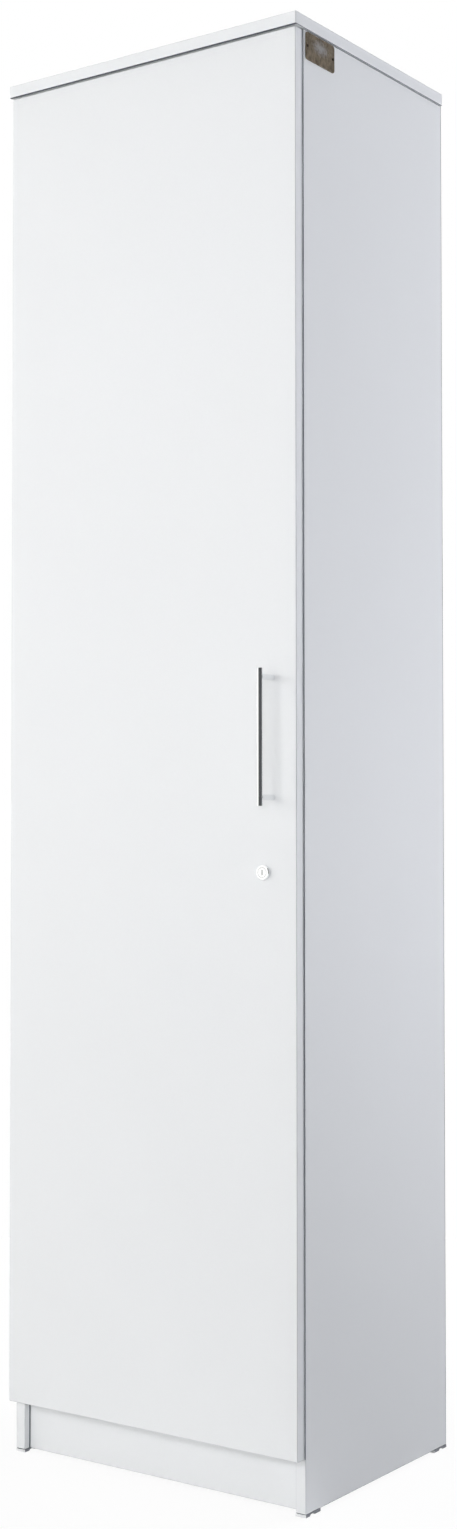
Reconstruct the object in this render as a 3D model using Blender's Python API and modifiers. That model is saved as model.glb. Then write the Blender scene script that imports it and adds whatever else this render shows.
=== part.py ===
# A tall narrow wardrobe of white laminated chipboard with one lockable door.
# Metres, +Z up, front towards -Y. The origin lies on the floor under the middle of the whole box.
import math

import bmesh
import bpy
from mathutils import Matrix, Vector

# Boards of the carcass
total_height = 2.000
carcass_width = 0.500
side_depth = 0.379
board_thickness = 0.016
top_thickness = 0.0175
top_side_overhang = 0.002
top_front_overhang = 0.022
back_thickness = 0.003
back_reveal = 0.002
plinth_height = 0.070
plinth_recess = 0.012
edging_radius = 0.001
back_edge_radius = 0.0004

# Running and seating clearances, how far a cut overruns and how near corners are welded
seat_gap = 0.0003
cut_overrun = 0.002
weld_distance = 0.00001

# Hat shelf and its four supports
hat_space_height = 0.280
shelf_setback = 0.014
shelf_back_gap = 0.004
support_inset = 0.050
support_pin_radius = 0.0025
support_pin_depth = 0.008
support_peg_radius = 0.0035
support_peg_length = 0.009
support_collar_radius = 0.005
support_collar_length = 0.001

# Clothes rail, end on, under the hat shelf
rail_radius = 0.010
rail_wall = 0.0012
rail_drop = 0.042
rail_front_inset = 0.040
rail_back_inset = 0.036
bracket_wall = 0.0025
bracket_socket_depth = 0.009
bracket_stem_width = 0.014
bracket_plate_length = 0.036
bracket_plate_width = 0.018
bracket_screw_radius = 0.0022
bracket_screw_inset = 0.006
bracket_plate_round = 0.004

# Nailed glides under the side boards
foot_height = 0.004
foot_length = 0.036
foot_front_pad = 0.010
foot_back_pad = 0.014
foot_arch_rise = 0.0022
foot_arch_ease = 0.0020

# Door
door_thickness = 0.016
door_front_gap = 0.002
door_side_reveal = 0.00125
door_top_gap = 0.0015
door_bottom_reveal = 0.002
buffer_radius = 0.004
buffer_end_inset = 0.034
buffer_round = 0.0005

# Round bar handle
bar_radius = 0.004
bar_length = 0.184
bar_end_chamfer = 0.0006
post_spacing = 0.160
post_radius = 0.004
handle_standoff = 0.032
handle_edge_distance = 0.03725
handle_rise_over_lock = 0.180
handle_screw_radius = 0.002
handle_screw_grip = 0.009
screw_head_radius = 0.0045
screw_head_height = 0.0026
screw_head_round = 0.0012

# Concealed hinges: the cup in the door, the arm on the left side board.
# The two pivots are measured from the outer face of the left side and its front edge.
hinge_count = 4
hinge_end_distance = 0.100
arm_pivot_across = 0.034
arm_pivot_ahead = 0.0059
cup_pivot_across = 0.0112
cup_pivot_ahead = 0.00475
pivot_pin_radius = 0.0015
rivet_head_radius = 0.0024
rivet_head_height = 0.0007
link_eye_radius = 0.003
link_half_height = 0.0048
link_half_web = 0.0015
link_bow = 0.0016
pivot_clearance = 0.0004
cup_bore_radius = 0.0175
cup_centre_distance = 0.0225
cup_bore_depth = 0.0125
cup_depth = 0.0118
cup_wall = 0.0006
cup_flange_thickness = 0.001
cup_rim_width = 0.0006
cup_plate_length = 0.060
cup_plate_width = 0.017
cup_plate_shift = 0.006
cup_plate_round = 0.007
cup_screw_spacing = 0.048
cup_screw_shift = 0.0095
cup_screw_radius = 0.0022
tower_inner_height = 0.0062
tower_half_width = 0.003
tower_bore_wall = 0.002
cup_pin_half_length = 0.009
arm_half_height = 0.0072
arm_wall = 0.0018
arm_web = 0.0015
arm_top = 0.012
arm_underside = 0.0026
arm_front = 0.014
arm_back = 0.064
arm_neck = 0.008
arm_nose_radius = 0.0036
plate_thickness = 0.002
plate_front = 0.029
plate_width = 0.016
plate_half_height = 0.026
plate_round = 0.006
plate_screw_inset = 0.010
plate_screw_radius = 0.0025
rib_front = 0.020
rib_back = 0.060

# Rim lock with a square bolt
lock_edge_distance = 0.05175
lock_height = 0.847
lock_face_radius = 0.0105
lock_projection = 0.005
lock_face_round = 0.0008
lock_barrel_radius = 0.0092
plug_radius = 0.0065
plug_turn_degrees = 90.0
keyway_width = 0.0012
keyway_height = 0.0070
keyway_depth = 0.011
bolt_travel = 0.008
crank_pin_radius = 0.0015
crank_disc_thickness = 0.002
lock_plate_thickness = 0.0012
case_depth = 0.0125
case_wall = 0.0012
case_free_end = 0.021
case_half_height = 0.020
case_corner_radius = 0.003
bolt_head_thickness = 0.008
bolt_tail_thickness = 0.0038
bolt_half_height = 0.008
bolt_tail_back = 0.014
bolt_head_length = 0.010
bolt_tip_proud = 0.0003
bolt_strike_gap = 0.0023
strike_thickness = 0.0015
strike_reach = 0.010
strike_depth = 0.021
strike_half_height = 0.017
strike_screw_spacing = 0.020
strike_screw_radius = 0.0018
strike_fold_radius = 0.0006

# Facets round a full turn
round_steps = 32
fine_steps = 40
small_steps = 16
bow_steps = 8
corner_steps = 4
edging_steps = 2

# Turns between faces above which an edge is eased or kept sharp
eased_edge_degrees = 40
sharp_edge_degrees = 35

# Places worked out from the sizes above
front_reach = door_front_gap + door_thickness + handle_standoff + bar_radius
back_reach = side_depth + seat_gap + back_thickness
front_y = (front_reach - back_reach) / 2
back_y = front_y + side_depth
half_width = carcass_width / 2
inner_x = half_width - board_thickness
side_bottom = foot_height
top_underside = total_height - top_thickness
plinth_top = side_bottom + plinth_height
floor_top = plinth_top + board_thickness
shelf_top = top_underside - hat_space_height
shelf_underside = shelf_top - board_thickness
door_back_y = front_y - door_front_gap
door_front_y = door_back_y - door_thickness
door_left_x = -half_width + door_side_reveal
door_right_x = half_width - door_side_reveal
door_bottom = plinth_top + door_bottom_reveal
door_top = top_underside - door_top_gap
handle_x = door_right_x - handle_edge_distance
handle_middle_height = lock_height + handle_rise_over_lock
lock_x = door_right_x - lock_edge_distance
arm_pivot = Vector((-half_width + arm_pivot_across, front_y - arm_pivot_ahead, 0))
cup_pivot = Vector((-half_width + cup_pivot_across, front_y - cup_pivot_ahead, 0))
cup_x = door_left_x + cup_centre_distance
lowest_hinge = door_bottom + hinge_end_distance
hinge_step = (door_top - hinge_end_distance - lowest_hinge) / (hinge_count - 1)
hinge_heights = [lowest_hinge + hinge_step * i for i in range(hinge_count)]

for leftover in list(bpy.data.objects):
    bpy.data.objects.remove(leftover)

wardrobe = bpy.data.collections.new("wardrobe")
cutters = bpy.data.collections.new("cutters")
for group in (wardrobe, cutters):
    bpy.context.scene.collection.children.link(group)


def make_material(name, colour, roughness, metallic=0.0):
    material = bpy.data.materials.new(name)
    material.use_nodes = True
    shader = material.node_tree.nodes["Principled BSDF"]
    shader.inputs["Base Color"].default_value = (*colour, 1.0)
    shader.inputs["Roughness"].default_value = roughness
    shader.inputs["Metallic"].default_value = metallic
    material.diffuse_color = (*colour, 1.0)
    return material


white_laminate = make_material("white_laminate", (0.86, 0.87, 0.88), 0.45)
white_hardboard = make_material("white_hardboard", (0.80, 0.80, 0.79), 0.70)
bright_chrome = make_material("bright_chrome", (0.80, 0.80, 0.82), 0.08, 1.0)
nickel_steel = make_material("nickel_steel", (0.62, 0.61, 0.58), 0.28, 1.0)
zinc_steel = make_material("zinc_steel", (0.55, 0.56, 0.58), 0.40, 1.0)
grey_plastic = make_material("grey_plastic", (0.62, 0.63, 0.65), 0.55)
clear_rubber = make_material("clear_rubber", (0.82, 0.82, 0.80), 0.60)


def add_object(name, mesh, material=None, group=None):
    thing = bpy.data.objects.new(name, mesh)
    (group or wardrobe).objects.link(thing)
    if material:
        mesh.materials.clear()
        mesh.materials.append(material)
    return thing


def put(thing, place, parent=None):
    """Set a piece at a place in the world, under an empty that carries it."""
    place = Vector(place)
    if parent:
        thing.parent = parent
        place = place - world_place(parent)
    thing.location = place
    return thing


def world_place(thing):
    place = Vector(thing.location)
    while thing.parent:
        thing = thing.parent
        place += thing.location
    return place


def add_axis(name, place, parent=None):
    """An empty on a joint's axis, which carries the pieces that move with it."""
    axis = bpy.data.objects.new(name, None)
    axis.empty_display_size = board_thickness
    wardrobe.objects.link(axis)
    return put(axis, place, parent)


def bevel(thing, width):
    edge = thing.modifiers.new("rounded edges", "BEVEL")
    edge.width = width
    edge.segments = edging_steps
    edge.limit_method = "ANGLE"
    edge.angle_limit = math.radians(eased_edge_degrees)
    edge.use_clamp_overlap = True


def mesh_from(builder, name):
    work = bmesh.new()
    builder(work)
    bmesh.ops.recalc_face_normals(work, faces=work.faces)
    mesh = bpy.data.meshes.new(name)
    work.to_mesh(mesh)
    work.free()
    return mesh


def block_mesh(name, low, high):
    low, high = Vector(low), Vector(high)

    def build(work):
        bmesh.ops.create_cube(work, size=1.0)
        size = high - low
        bmesh.ops.scale(work, vec=size, verts=work.verts)
        bmesh.ops.translate(work, vec=(low + high) / 2, verts=work.verts)

    return mesh_from(build, name)


def rod_mesh(name, radius, start, end, steps=round_steps):
    """A closed cylinder from start to end."""
    start, end = Vector(start), Vector(end)
    along = end - start
    turn = Vector((0, 0, 1)).rotation_difference(along.normalized()).to_matrix().to_4x4()

    def build(work):
        bmesh.ops.create_cone(work, cap_ends=True, segments=steps, radius1=radius, radius2=radius,
                              depth=along.length)
        bmesh.ops.transform(work, matrix=turn, verts=work.verts)
        bmesh.ops.translate(work, vec=(start + end) / 2, verts=work.verts)

    return mesh_from(build, name)


def joined_mesh(name, meshes):
    """One mesh of several that stand apart."""

    def build(work):
        for mesh in meshes:
            work.from_mesh(mesh)

    return mesh_from(build, name)


def bake(thing):
    """The mesh that a piece's modifiers make, with the piece itself taken away."""
    bpy.context.view_layer.update()
    graph = bpy.context.evaluated_depsgraph_get()
    mesh = bpy.data.meshes.new_from_object(thing.evaluated_get(graph), depsgraph=graph)
    mesh.transform(thing.matrix_world)
    bpy.data.objects.remove(thing)
    work = bmesh.new()
    work.from_mesh(mesh)
    bmesh.ops.remove_doubles(work, verts=work.verts, dist=weld_distance)
    bmesh.ops.recalc_face_normals(work, faces=work.faces)
    work.to_mesh(mesh)
    work.free()
    return mesh


def turned_mesh(name, profile, steps=round_steps, axis="Y"):
    """A turned shape: profile points are (distance from the axis, place along the axis)."""
    mesh = bpy.data.meshes.new(name)
    if axis == "Y":
        points = [(radius, along, 0) for radius, along in profile]
    elif axis == "X":
        points = [(along, radius, 0) for radius, along in profile]
    else:
        points = [(radius, 0, along) for radius, along in profile]
    mesh.from_pydata(points, [(i, i + 1) for i in range(len(points) - 1)], [])
    thing = add_object(name, mesh)
    screw = thing.modifiers.new("turned", "SCREW")
    screw.axis = axis
    screw.steps = steps
    screw.render_steps = steps
    screw.use_merge_vertices = True
    screw.merge_threshold = weld_distance
    return bake(thing)


def outline_mesh(name, loops, half_thickness, plane="XY"):
    """A flat outline with its holes, given half its thickness to each side."""
    curve = bpy.data.curves.new(name, "CURVE")
    curve.dimensions = "2D"
    curve.fill_mode = "BOTH"
    curve.extrude = half_thickness
    for loop in loops:
        spline = curve.splines.new("POLY")
        spline.points.add(len(loop) - 1)
        for point, (across, up) in zip(spline.points, loop):
            point.co = (across, up, 0, 1)
        spline.use_cyclic_u = True
    thing = add_object(name, curve)
    if plane == "XZ":
        thing.rotation_euler = (math.radians(90), 0, 0)
    elif plane == "YZ":
        thing.rotation_euler = (math.radians(90), 0, math.radians(90))
    mesh = bake(thing)
    bpy.data.curves.remove(curve)
    return mesh


def arc(centre, radius, start, end, steps):
    """Points of an arc, angles in degrees."""
    turns = [math.radians(start + (end - start) * i / steps) for i in range(steps + 1)]
    return [(centre[0] + radius * math.cos(t), centre[1] + radius * math.sin(t)) for t in turns]


def circle(centre, radius, steps=small_steps):
    return arc(centre, radius, 0, 360, steps)[:-1]


def rounded_rectangle(low, high, radius):
    left, bottom, right, top = low[0] + radius, low[1] + radius, high[0] - radius, high[1] - radius
    corners = ((right, bottom, -90), (right, top, 0), (left, top, 90), (left, bottom, 180))
    points = []
    for x, y, start in corners:
        points += arc((x, y), radius, start, start + 90, corner_steps)
    return points


def combine(mesh, steps):
    """Join, cut or intersect a mesh with others, in order: steps are (operation, mesh)."""
    thing = add_object(mesh.name, mesh, group=cutters)
    tools = []
    for operation, other in steps:
        tool = add_object(other.name + "_tool", other, group=cutters)
        tool.display_type = "WIRE"
        tool.hide_render = True
        change = thing.modifiers.new(operation.lower(), "BOOLEAN")
        change.operation = operation
        change.solver = "EXACT"
        change.object = tool
        tools.append(tool)
    result = bake(thing)
    for tool in tools:
        bpy.data.objects.remove(tool)
    return result


def smooth(thing):
    thing.data.shade_smooth()
    thing.data.set_sharp_from_angle(angle=math.radians(sharp_edge_degrees))


def cut(thing, name, meshes):
    """Leave live holes in a board: their cutter stays in its own collection."""
    tool = add_object(name, joined_mesh(name, meshes), group=cutters)
    tool.display_type = "WIRE"
    tool.hide_render = True
    change = thing.modifiers.new(name, "BOOLEAN")
    change.operation = "DIFFERENCE"
    change.solver = "EXACT"
    change.object = tool


def board(name, low, high, material=white_laminate, radius=edging_radius):
    """A board with its eased edges, its origin at its low corner."""
    size = Vector(high) - Vector(low)
    thing = add_object(name, block_mesh(name, (0, 0, 0), size), material)
    bevel(thing, radius)
    return put(thing, low)


# Sides, top, bottom, plinth and back

def make_side(name, outer_sign):
    outer = outer_sign * half_width
    inner = outer_sign * inner_x
    side = board(name, (min(outer, inner), front_y, side_bottom),
                 (max(outer, inner), back_y, top_underside - seat_gap))
    holes = []
    for y in (front_y + support_inset, back_y - support_inset):
        start = (outer_sign * (inner_x - cut_overrun), y, support_height)
        stop = (outer_sign * (inner_x + support_pin_depth + seat_gap), y, support_height)
        holes.append(rod_mesh("support_hole", support_pin_radius + seat_gap, start, stop, small_steps))
    cut(side, name + "_support_holes", holes)


support_height = shelf_underside - seat_gap - support_peg_radius
make_side("left_side", -1)
make_side("right_side", 1)

top_half_width = half_width + top_side_overhang
board("top_panel", (-top_half_width, front_y - top_front_overhang, top_underside),
      (top_half_width, back_y, total_height))

panel_half_width = inner_x - seat_gap
board("bottom_panel", (-panel_half_width, front_y, plinth_top),
      (panel_half_width, back_y, floor_top))
board("plinth", (-panel_half_width, front_y + plinth_recess, side_bottom),
      (panel_half_width, front_y + plinth_recess + board_thickness, plinth_top - seat_gap))
back_half_width = half_width - back_reveal
board("back_panel", (-back_half_width, back_y + seat_gap, plinth_top + back_reveal),
      (back_half_width, back_y + seat_gap + back_thickness, total_height - back_reveal),
      white_hardboard, back_edge_radius)

# Hat shelf and its supports

shelf_half_width = inner_x - support_collar_length - 2 * seat_gap
board("hat_shelf", (-shelf_half_width, front_y + shelf_setback, shelf_underside),
      (shelf_half_width, back_y - shelf_back_gap, shelf_top))


def make_support_mesh():
    """A turned peg: the pin that goes in the side, a collar and the peg under the shelf."""
    collar_start = seat_gap
    collar_end = collar_start + support_collar_length
    peg_end = collar_end + support_peg_length
    profile = [
        (0, -support_pin_depth),
        (support_pin_radius, -support_pin_depth),
        (support_pin_radius, collar_start),
        (support_collar_radius, collar_start),
        (support_collar_radius, collar_end),
        (support_peg_radius, collar_end),
        (support_peg_radius, peg_end),
        (0, peg_end),
    ]
    return turned_mesh("shelf_support", profile, small_steps, "X")


support_mesh = make_support_mesh()
for side_name, sign in (("left", -1), ("right", 1)):
    for end, y in (("front", front_y + support_inset), ("back", back_y - support_inset)):
        support = add_object("shelf_support_%s_%s" % (side_name, end), support_mesh, zinc_steel)
        put(support, (sign * inner_x, y, support_height))
        support.rotation_euler = (0, 0, 0 if sign < 0 else math.radians(180))
        smooth(support)

# Clothes rail with its two end brackets

rail_z = shelf_underside - rail_drop
rail_start = front_y + rail_front_inset
rail_end = back_y - rail_back_inset
rail_profile = [
    (rail_radius - rail_wall, 0),
    (rail_radius, 0),
    (rail_radius, rail_end - rail_start),
    (rail_radius - rail_wall, rail_end - rail_start),
    (rail_radius - rail_wall, 0),
]
rail = add_object("clothes_rail", turned_mesh("clothes_rail", rail_profile), bright_chrome)
smooth(put(rail, (0, rail_start, rail_z)))


def make_bracket_mesh():
    """A socket for the end of the rail on a stem, with a screwed plate under the shelf.

    The rail enters from +Y; the origin is on the rail's axis at its end.
    """
    socket_radius = rail_radius + seat_gap + bracket_wall
    back = -seat_gap - bracket_wall
    mouth = bracket_socket_depth
    profile = [
        (0, back),
        (socket_radius, back),
        (socket_radius, mouth),
        (rail_radius + seat_gap, mouth),
        (rail_radius + seat_gap, -seat_gap),
        (0, -seat_gap),
    ]
    socket = turned_mesh("rail_bracket", profile)
    plate_top = rail_drop - seat_gap
    plate_low = plate_top - bracket_wall
    stem = block_mesh("stem", (-bracket_stem_width / 2, back, rail_radius + 2 * seat_gap),
                      (bracket_stem_width / 2, back + bracket_wall, plate_top))
    half_length = bracket_plate_length / 2
    screw_x = half_length - bracket_screw_inset
    plate_middle = back + bracket_plate_width / 2
    loops = [
        rounded_rectangle((-half_length, back), (half_length, back + bracket_plate_width),
                          bracket_plate_round),
        circle((-screw_x, plate_middle), bracket_screw_radius),
        circle((screw_x, plate_middle), bracket_screw_radius),
    ]
    plate = outline_mesh("plate", loops, bracket_wall / 2)
    plate.transform(Matrix.Translation((0, 0, (plate_top + plate_low) / 2)))
    return combine(socket, [("UNION", stem), ("UNION", plate)])


bracket_mesh = make_bracket_mesh()
for end, y, turn in (("front", rail_start, 0), ("back", rail_end, math.radians(180))):
    bracket = add_object("rail_bracket_" + end, bracket_mesh, zinc_steel)
    put(bracket, (0, y, rail_z))
    bracket.rotation_euler = (0, 0, turn)
    smooth(bracket)

# Glides under the ends of the side boards


def make_foot_mesh():
    """Two pads joined by a shallow arch, drawn in the Y-Z plane with the front at zero."""
    arch_start = foot_front_pad
    arch_end = foot_length - foot_back_pad
    top = foot_height - seat_gap
    outline = [
        (0, 0),
        (arch_start, 0),
        (arch_start + foot_arch_ease, foot_arch_rise),
        (arch_end - foot_arch_ease, foot_arch_rise),
        (arch_end, 0),
        (foot_length, 0),
        (foot_length, top),
        (0, top),
    ]
    return outline_mesh("foot", [outline], board_thickness / 2, "YZ")


foot_mesh = make_foot_mesh()
foot_x = half_width - board_thickness / 2
for side_name, sign in (("left", -1), ("right", 1)):
    for end, y, turn in (("front", front_y, 0), ("back", back_y, math.radians(180))):
        foot = add_object("foot_%s_%s" % (end, side_name), foot_mesh, grey_plastic)
        put(foot, (sign * foot_x, y, 0))
        foot.rotation_euler = (0, 0, turn)

# Joint axes: each hinge's link turns in the arm, and the door turns on the links

link_axis = add_axis("link_axis", arm_pivot)
door_axis = add_axis("door_axis", cup_pivot, link_axis)
lock_axis = add_axis("lock_axis", (lock_x, door_front_y, lock_height), door_axis)
bolt_guide = add_axis("bolt_guide", (lock_x, door_front_y, lock_height), door_axis)

# Door

door = board("door", (door_left_x, door_front_y, door_bottom), (door_right_x, door_back_y, door_top))
put(door, (door_left_x, door_front_y, door_bottom), door_axis)
post_heights = {"upper": handle_middle_height + post_spacing / 2,
                "lower": handle_middle_height - post_spacing / 2}
door_holes = []
for z in hinge_heights:
    cup_start = (cup_x, door_back_y + cut_overrun, z)
    cup_stop = (cup_x, door_back_y - cup_bore_depth, z)
    door_holes.append(rod_mesh("cup_bore", cup_bore_radius, cup_start, cup_stop, fine_steps))
for z in post_heights.values():
    hole_start = (handle_x, door_front_y - cut_overrun, z)
    hole_stop = (handle_x, door_back_y + cut_overrun, z)
    door_holes.append(rod_mesh("handle_hole", handle_screw_radius + seat_gap, hole_start, hole_stop,
                               small_steps))
bore_start = (lock_x, door_front_y - cut_overrun, lock_height)
bore_stop = (lock_x, door_back_y + cut_overrun, lock_height)
door_holes.append(rod_mesh("lock_bore", lock_barrel_radius + seat_gap, bore_start, bore_stop))
cut(door, "door_holes", door_holes)

buffer_length = door_front_gap - 2 * seat_gap
buffer_profile = [
    (0, 0),
    (buffer_radius, 0),
    (buffer_radius, buffer_length - buffer_round),
    (buffer_radius - buffer_round, buffer_length),
    (0, buffer_length),
]
buffer_mesh = turned_mesh("buffer", buffer_profile, small_steps)
buffer_x = half_width - board_thickness / 2
for end, z in (("upper", door_top - buffer_end_inset), ("lower", door_bottom + buffer_end_inset)):
    buffer = add_object("door_buffer_" + end, buffer_mesh, clear_rubber)
    smooth(put(buffer, (buffer_x, door_back_y + seat_gap, z), door_axis))

# Handle

bar_profile = [
    (0, bar_length / 2),
    (bar_radius - bar_end_chamfer, bar_length / 2),
    (bar_radius, bar_length / 2 - bar_end_chamfer),
    (bar_radius, -bar_length / 2 + bar_end_chamfer),
    (bar_radius - bar_end_chamfer, -bar_length / 2),
    (0, -bar_length / 2),
]
bar_y = door_front_y - handle_standoff
bar = add_object("handle_bar", turned_mesh("handle_bar", bar_profile, round_steps, "Z"), bright_chrome)
smooth(put(bar, (handle_x, bar_y, handle_middle_height), door_axis))


def make_post_mesh():
    """A post saddled to the bar, with a blind hole for its screw; origin on the door's face."""
    post = rod_mesh("handle_post", post_radius, (0, -handle_standoff, 0), (0, -seat_gap, 0))
    saddle_end = bar_length / 2
    saddle = rod_mesh("saddle", bar_radius + seat_gap, (0, -handle_standoff, -saddle_end),
                      (0, -handle_standoff, saddle_end))
    hole = rod_mesh("hole", handle_screw_radius + seat_gap, (0, -handle_screw_grip - seat_gap, 0),
                    (0, cut_overrun, 0), small_steps)
    return combine(post, [("DIFFERENCE", saddle), ("DIFFERENCE", hole)])


def make_handle_screw_mesh():
    """A pan head screw from the back of the door into the post; origin on the door's back."""
    head_start = seat_gap
    head_end = head_start + screw_head_height
    profile = [
        (0, -door_thickness - handle_screw_grip),
        (handle_screw_radius, -door_thickness - handle_screw_grip),
        (handle_screw_radius, head_start),
        (screw_head_radius, head_start),
        (screw_head_radius, head_end - screw_head_round),
        (screw_head_radius - screw_head_round, head_end),
        (0, head_end),
    ]
    return turned_mesh("handle_screw", profile, small_steps)


post_mesh = make_post_mesh()
handle_screw_mesh = make_handle_screw_mesh()
for end, z in post_heights.items():
    post = add_object("handle_post_" + end, post_mesh, bright_chrome)
    smooth(put(post, (handle_x, door_front_y, z), door_axis))
    screw = add_object("handle_screw_" + end, handle_screw_mesh, zinc_steel)
    smooth(put(screw, (handle_x, door_back_y, z), door_axis))

# Concealed hinges


def make_cup_mesh():
    """A pressed cup with its screw plate and two pin bosses; origin on its axis at the door's back."""
    outer = cup_bore_radius - seat_gap
    inner = outer - cup_wall
    rim = outer + cup_rim_width
    under = seat_gap
    top = seat_gap + cup_flange_thickness
    floor_y = -cup_depth + cup_wall
    profile = [
        (0, -cup_depth),
        (outer, -cup_depth),
        (outer, under),
        (rim, under),
        (rim, top),
        (inner, top),
        (inner, floor_y),
        (0, floor_y),
    ]
    cup = turned_mesh("hinge_cup", profile, fine_steps)
    half_length = cup_plate_length / 2
    plate_low = cup_plate_shift - cup_plate_width / 2
    plate_high = cup_plate_shift + cup_plate_width / 2
    screw_z = cup_screw_spacing / 2
    loops = [
        rounded_rectangle((plate_low, -half_length), (plate_high, half_length), cup_plate_round),
        circle((cup_screw_shift, screw_z), cup_screw_radius),
        circle((cup_screw_shift, -screw_z), cup_screw_radius),
    ]
    plate = outline_mesh("plate", loops, cup_flange_thickness / 2, "XZ")
    plate.transform(Matrix.Translation((0, (under + top) / 2, 0)))
    mouth = rod_mesh("mouth", inner, (0, floor_y, 0), (0, top + cut_overrun, 0), fine_steps)
    pin_x = cup_pivot.x - cup_x
    pin_y = cup_pivot.y - door_back_y
    changes = [("UNION", plate), ("DIFFERENCE", mouth)]
    for sign in (-1, 1):
        ends = sorted((sign * tower_inner_height, sign * cup_bore_radius))
        low = (pin_x - tower_half_width - cup_wall, -cup_depth + cup_wall / 2, ends[0])
        high = (pin_x + tower_half_width, pin_y + pivot_pin_radius + tower_bore_wall, ends[1])
        shell = rod_mesh("shell", outer - cup_wall / 2, (0, -cup_depth, 0), (0, top, 0), fine_steps)
        tower = combine(block_mesh("tower", low, high), [("INTERSECT", shell)])
        changes.append(("UNION", tower))
    bore_end = cup_pin_half_length + seat_gap
    bore = rod_mesh("bore", pivot_pin_radius + seat_gap, (pin_x, pin_y, -bore_end),
                    (pin_x, pin_y, bore_end), small_steps)
    changes.append(("DIFFERENCE", bore))
    return combine(cup, changes)


def make_link_mesh():
    """A bowed link with an eye at each end; origin on the arm's pin, cup end towards -X."""
    reach = cup_pivot - arm_pivot
    length = reach.length
    across = reach / length
    bow_side = Vector((-across.y, across.x, 0))
    if bow_side.y > 0:
        bow_side = -bow_side
    spread = math.degrees(math.asin(link_half_web / link_eye_radius))

    def middle(share):
        along = reach * share
        return along + bow_side * (link_bow * 4 * share * (1 - share))

    def heading(start, end):
        way = middle(end) - middle(start)
        return math.degrees(math.atan2(way.y, way.x))

    small = 1 / (4 * bow_steps)
    arm_heading = heading(0, small)
    cup_heading = heading(1, 1 - small)
    inner_share = link_eye_radius / length
    shares = [inner_share + (1 - 2 * inner_share) * i / bow_steps for i in range(bow_steps + 1)]
    lower, upper = [], []
    for share in shares:
        way = (middle(share + small) - middle(share - small)).normalized()
        normal = Vector((-way.y, way.x, 0)) * link_half_web
        lower.append((middle(share) + normal).to_2d().to_tuple())
        upper.append((middle(share) - normal).to_2d().to_tuple())
    outline = arc((0, 0), link_eye_radius, arm_heading + 2 * spread, arm_heading + 360 - 2 * spread,
                  small_steps)[::-1]
    outline += lower
    cup_eye = arc(reach.to_2d(), link_eye_radius, cup_heading + 2 * spread,
                  cup_heading + 360 - 2 * spread, small_steps)[::-1]
    outline += cup_eye
    outline += upper[::-1]
    bore = pivot_pin_radius + pivot_clearance
    loops = [outline, circle((0, 0), bore), circle(reach.to_2d(), bore)]
    return outline_mesh("hinge_link", loops, link_half_height)


def make_arm_mesh():
    """A channel over the mounting plate with a raised, forked nose.

    The origin is on the inner face of the side board, at its front edge.
    """
    nose = (arm_pivot.x + inner_x, arm_pivot.y - front_y)
    lean = math.degrees(math.atan2(arm_front - nose[1], arm_underside - nose[0]))
    outline = [
        (arm_underside, arm_back),
        (arm_underside, arm_front),
    ]
    outline += arc(nose, arm_nose_radius, lean + 90, lean + 270, small_steps // 2)
    outline += [
        (arm_top, arm_front),
        (arm_top, arm_back),
    ]
    hole = circle(nose, pivot_pin_radius + seat_gap)
    arm = outline_mesh("hinge_arm", [outline, hole], arm_half_height)
    inside = arm_half_height - arm_wall
    channel = block_mesh("channel", (arm_underside - cut_overrun, arm_neck, -inside),
                         (arm_top - arm_web, arm_back + cut_overrun, inside))
    fork_front = nose[1] - arm_nose_radius - cut_overrun
    fork_far = nose[0] + arm_nose_radius + cut_overrun
    fork = block_mesh("fork", (arm_underside - cut_overrun, fork_front, -inside),
                      (fork_far, arm_neck, inside))
    return combine(arm, [("DIFFERENCE", channel), ("DIFFERENCE", fork)])


def make_plate_mesh():
    """The winged plate that is screwed to the side board, with the rib that the arm clips over."""
    low = seat_gap
    high = low + plate_thickness
    plate_back = plate_front + plate_width
    screw_y = (plate_front + plate_back) / 2
    screw_z = plate_half_height - plate_screw_inset
    loops = [
        rounded_rectangle((plate_front, -plate_half_height), (plate_back, plate_half_height), plate_round),
        circle((screw_y, screw_z), plate_screw_radius),
        circle((screw_y, -screw_z), plate_screw_radius),
    ]
    wings = outline_mesh("mounting_plate", loops, plate_thickness / 2, "YZ")
    wings.transform(Matrix.Translation(((low + high) / 2, 0, 0)))
    rib_half = arm_half_height - arm_wall - seat_gap
    rib = block_mesh("rib", (low, rib_front, -rib_half), (arm_top - arm_web - seat_gap, rib_back, rib_half))
    return combine(wings, [("UNION", rib)])


def make_rivet_mesh():
    """The arm's riveted pin, its two heads outside the fork."""
    inner = arm_half_height + seat_gap
    outer = inner + rivet_head_height
    profile = [
        (0, outer),
        (rivet_head_radius, outer),
        (rivet_head_radius, inner),
        (pivot_pin_radius, inner),
        (pivot_pin_radius, -inner),
        (rivet_head_radius, -inner),
        (rivet_head_radius, -outer),
        (0, -outer),
    ]
    return turned_mesh("arm_pin", profile, small_steps, "Z")


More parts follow.
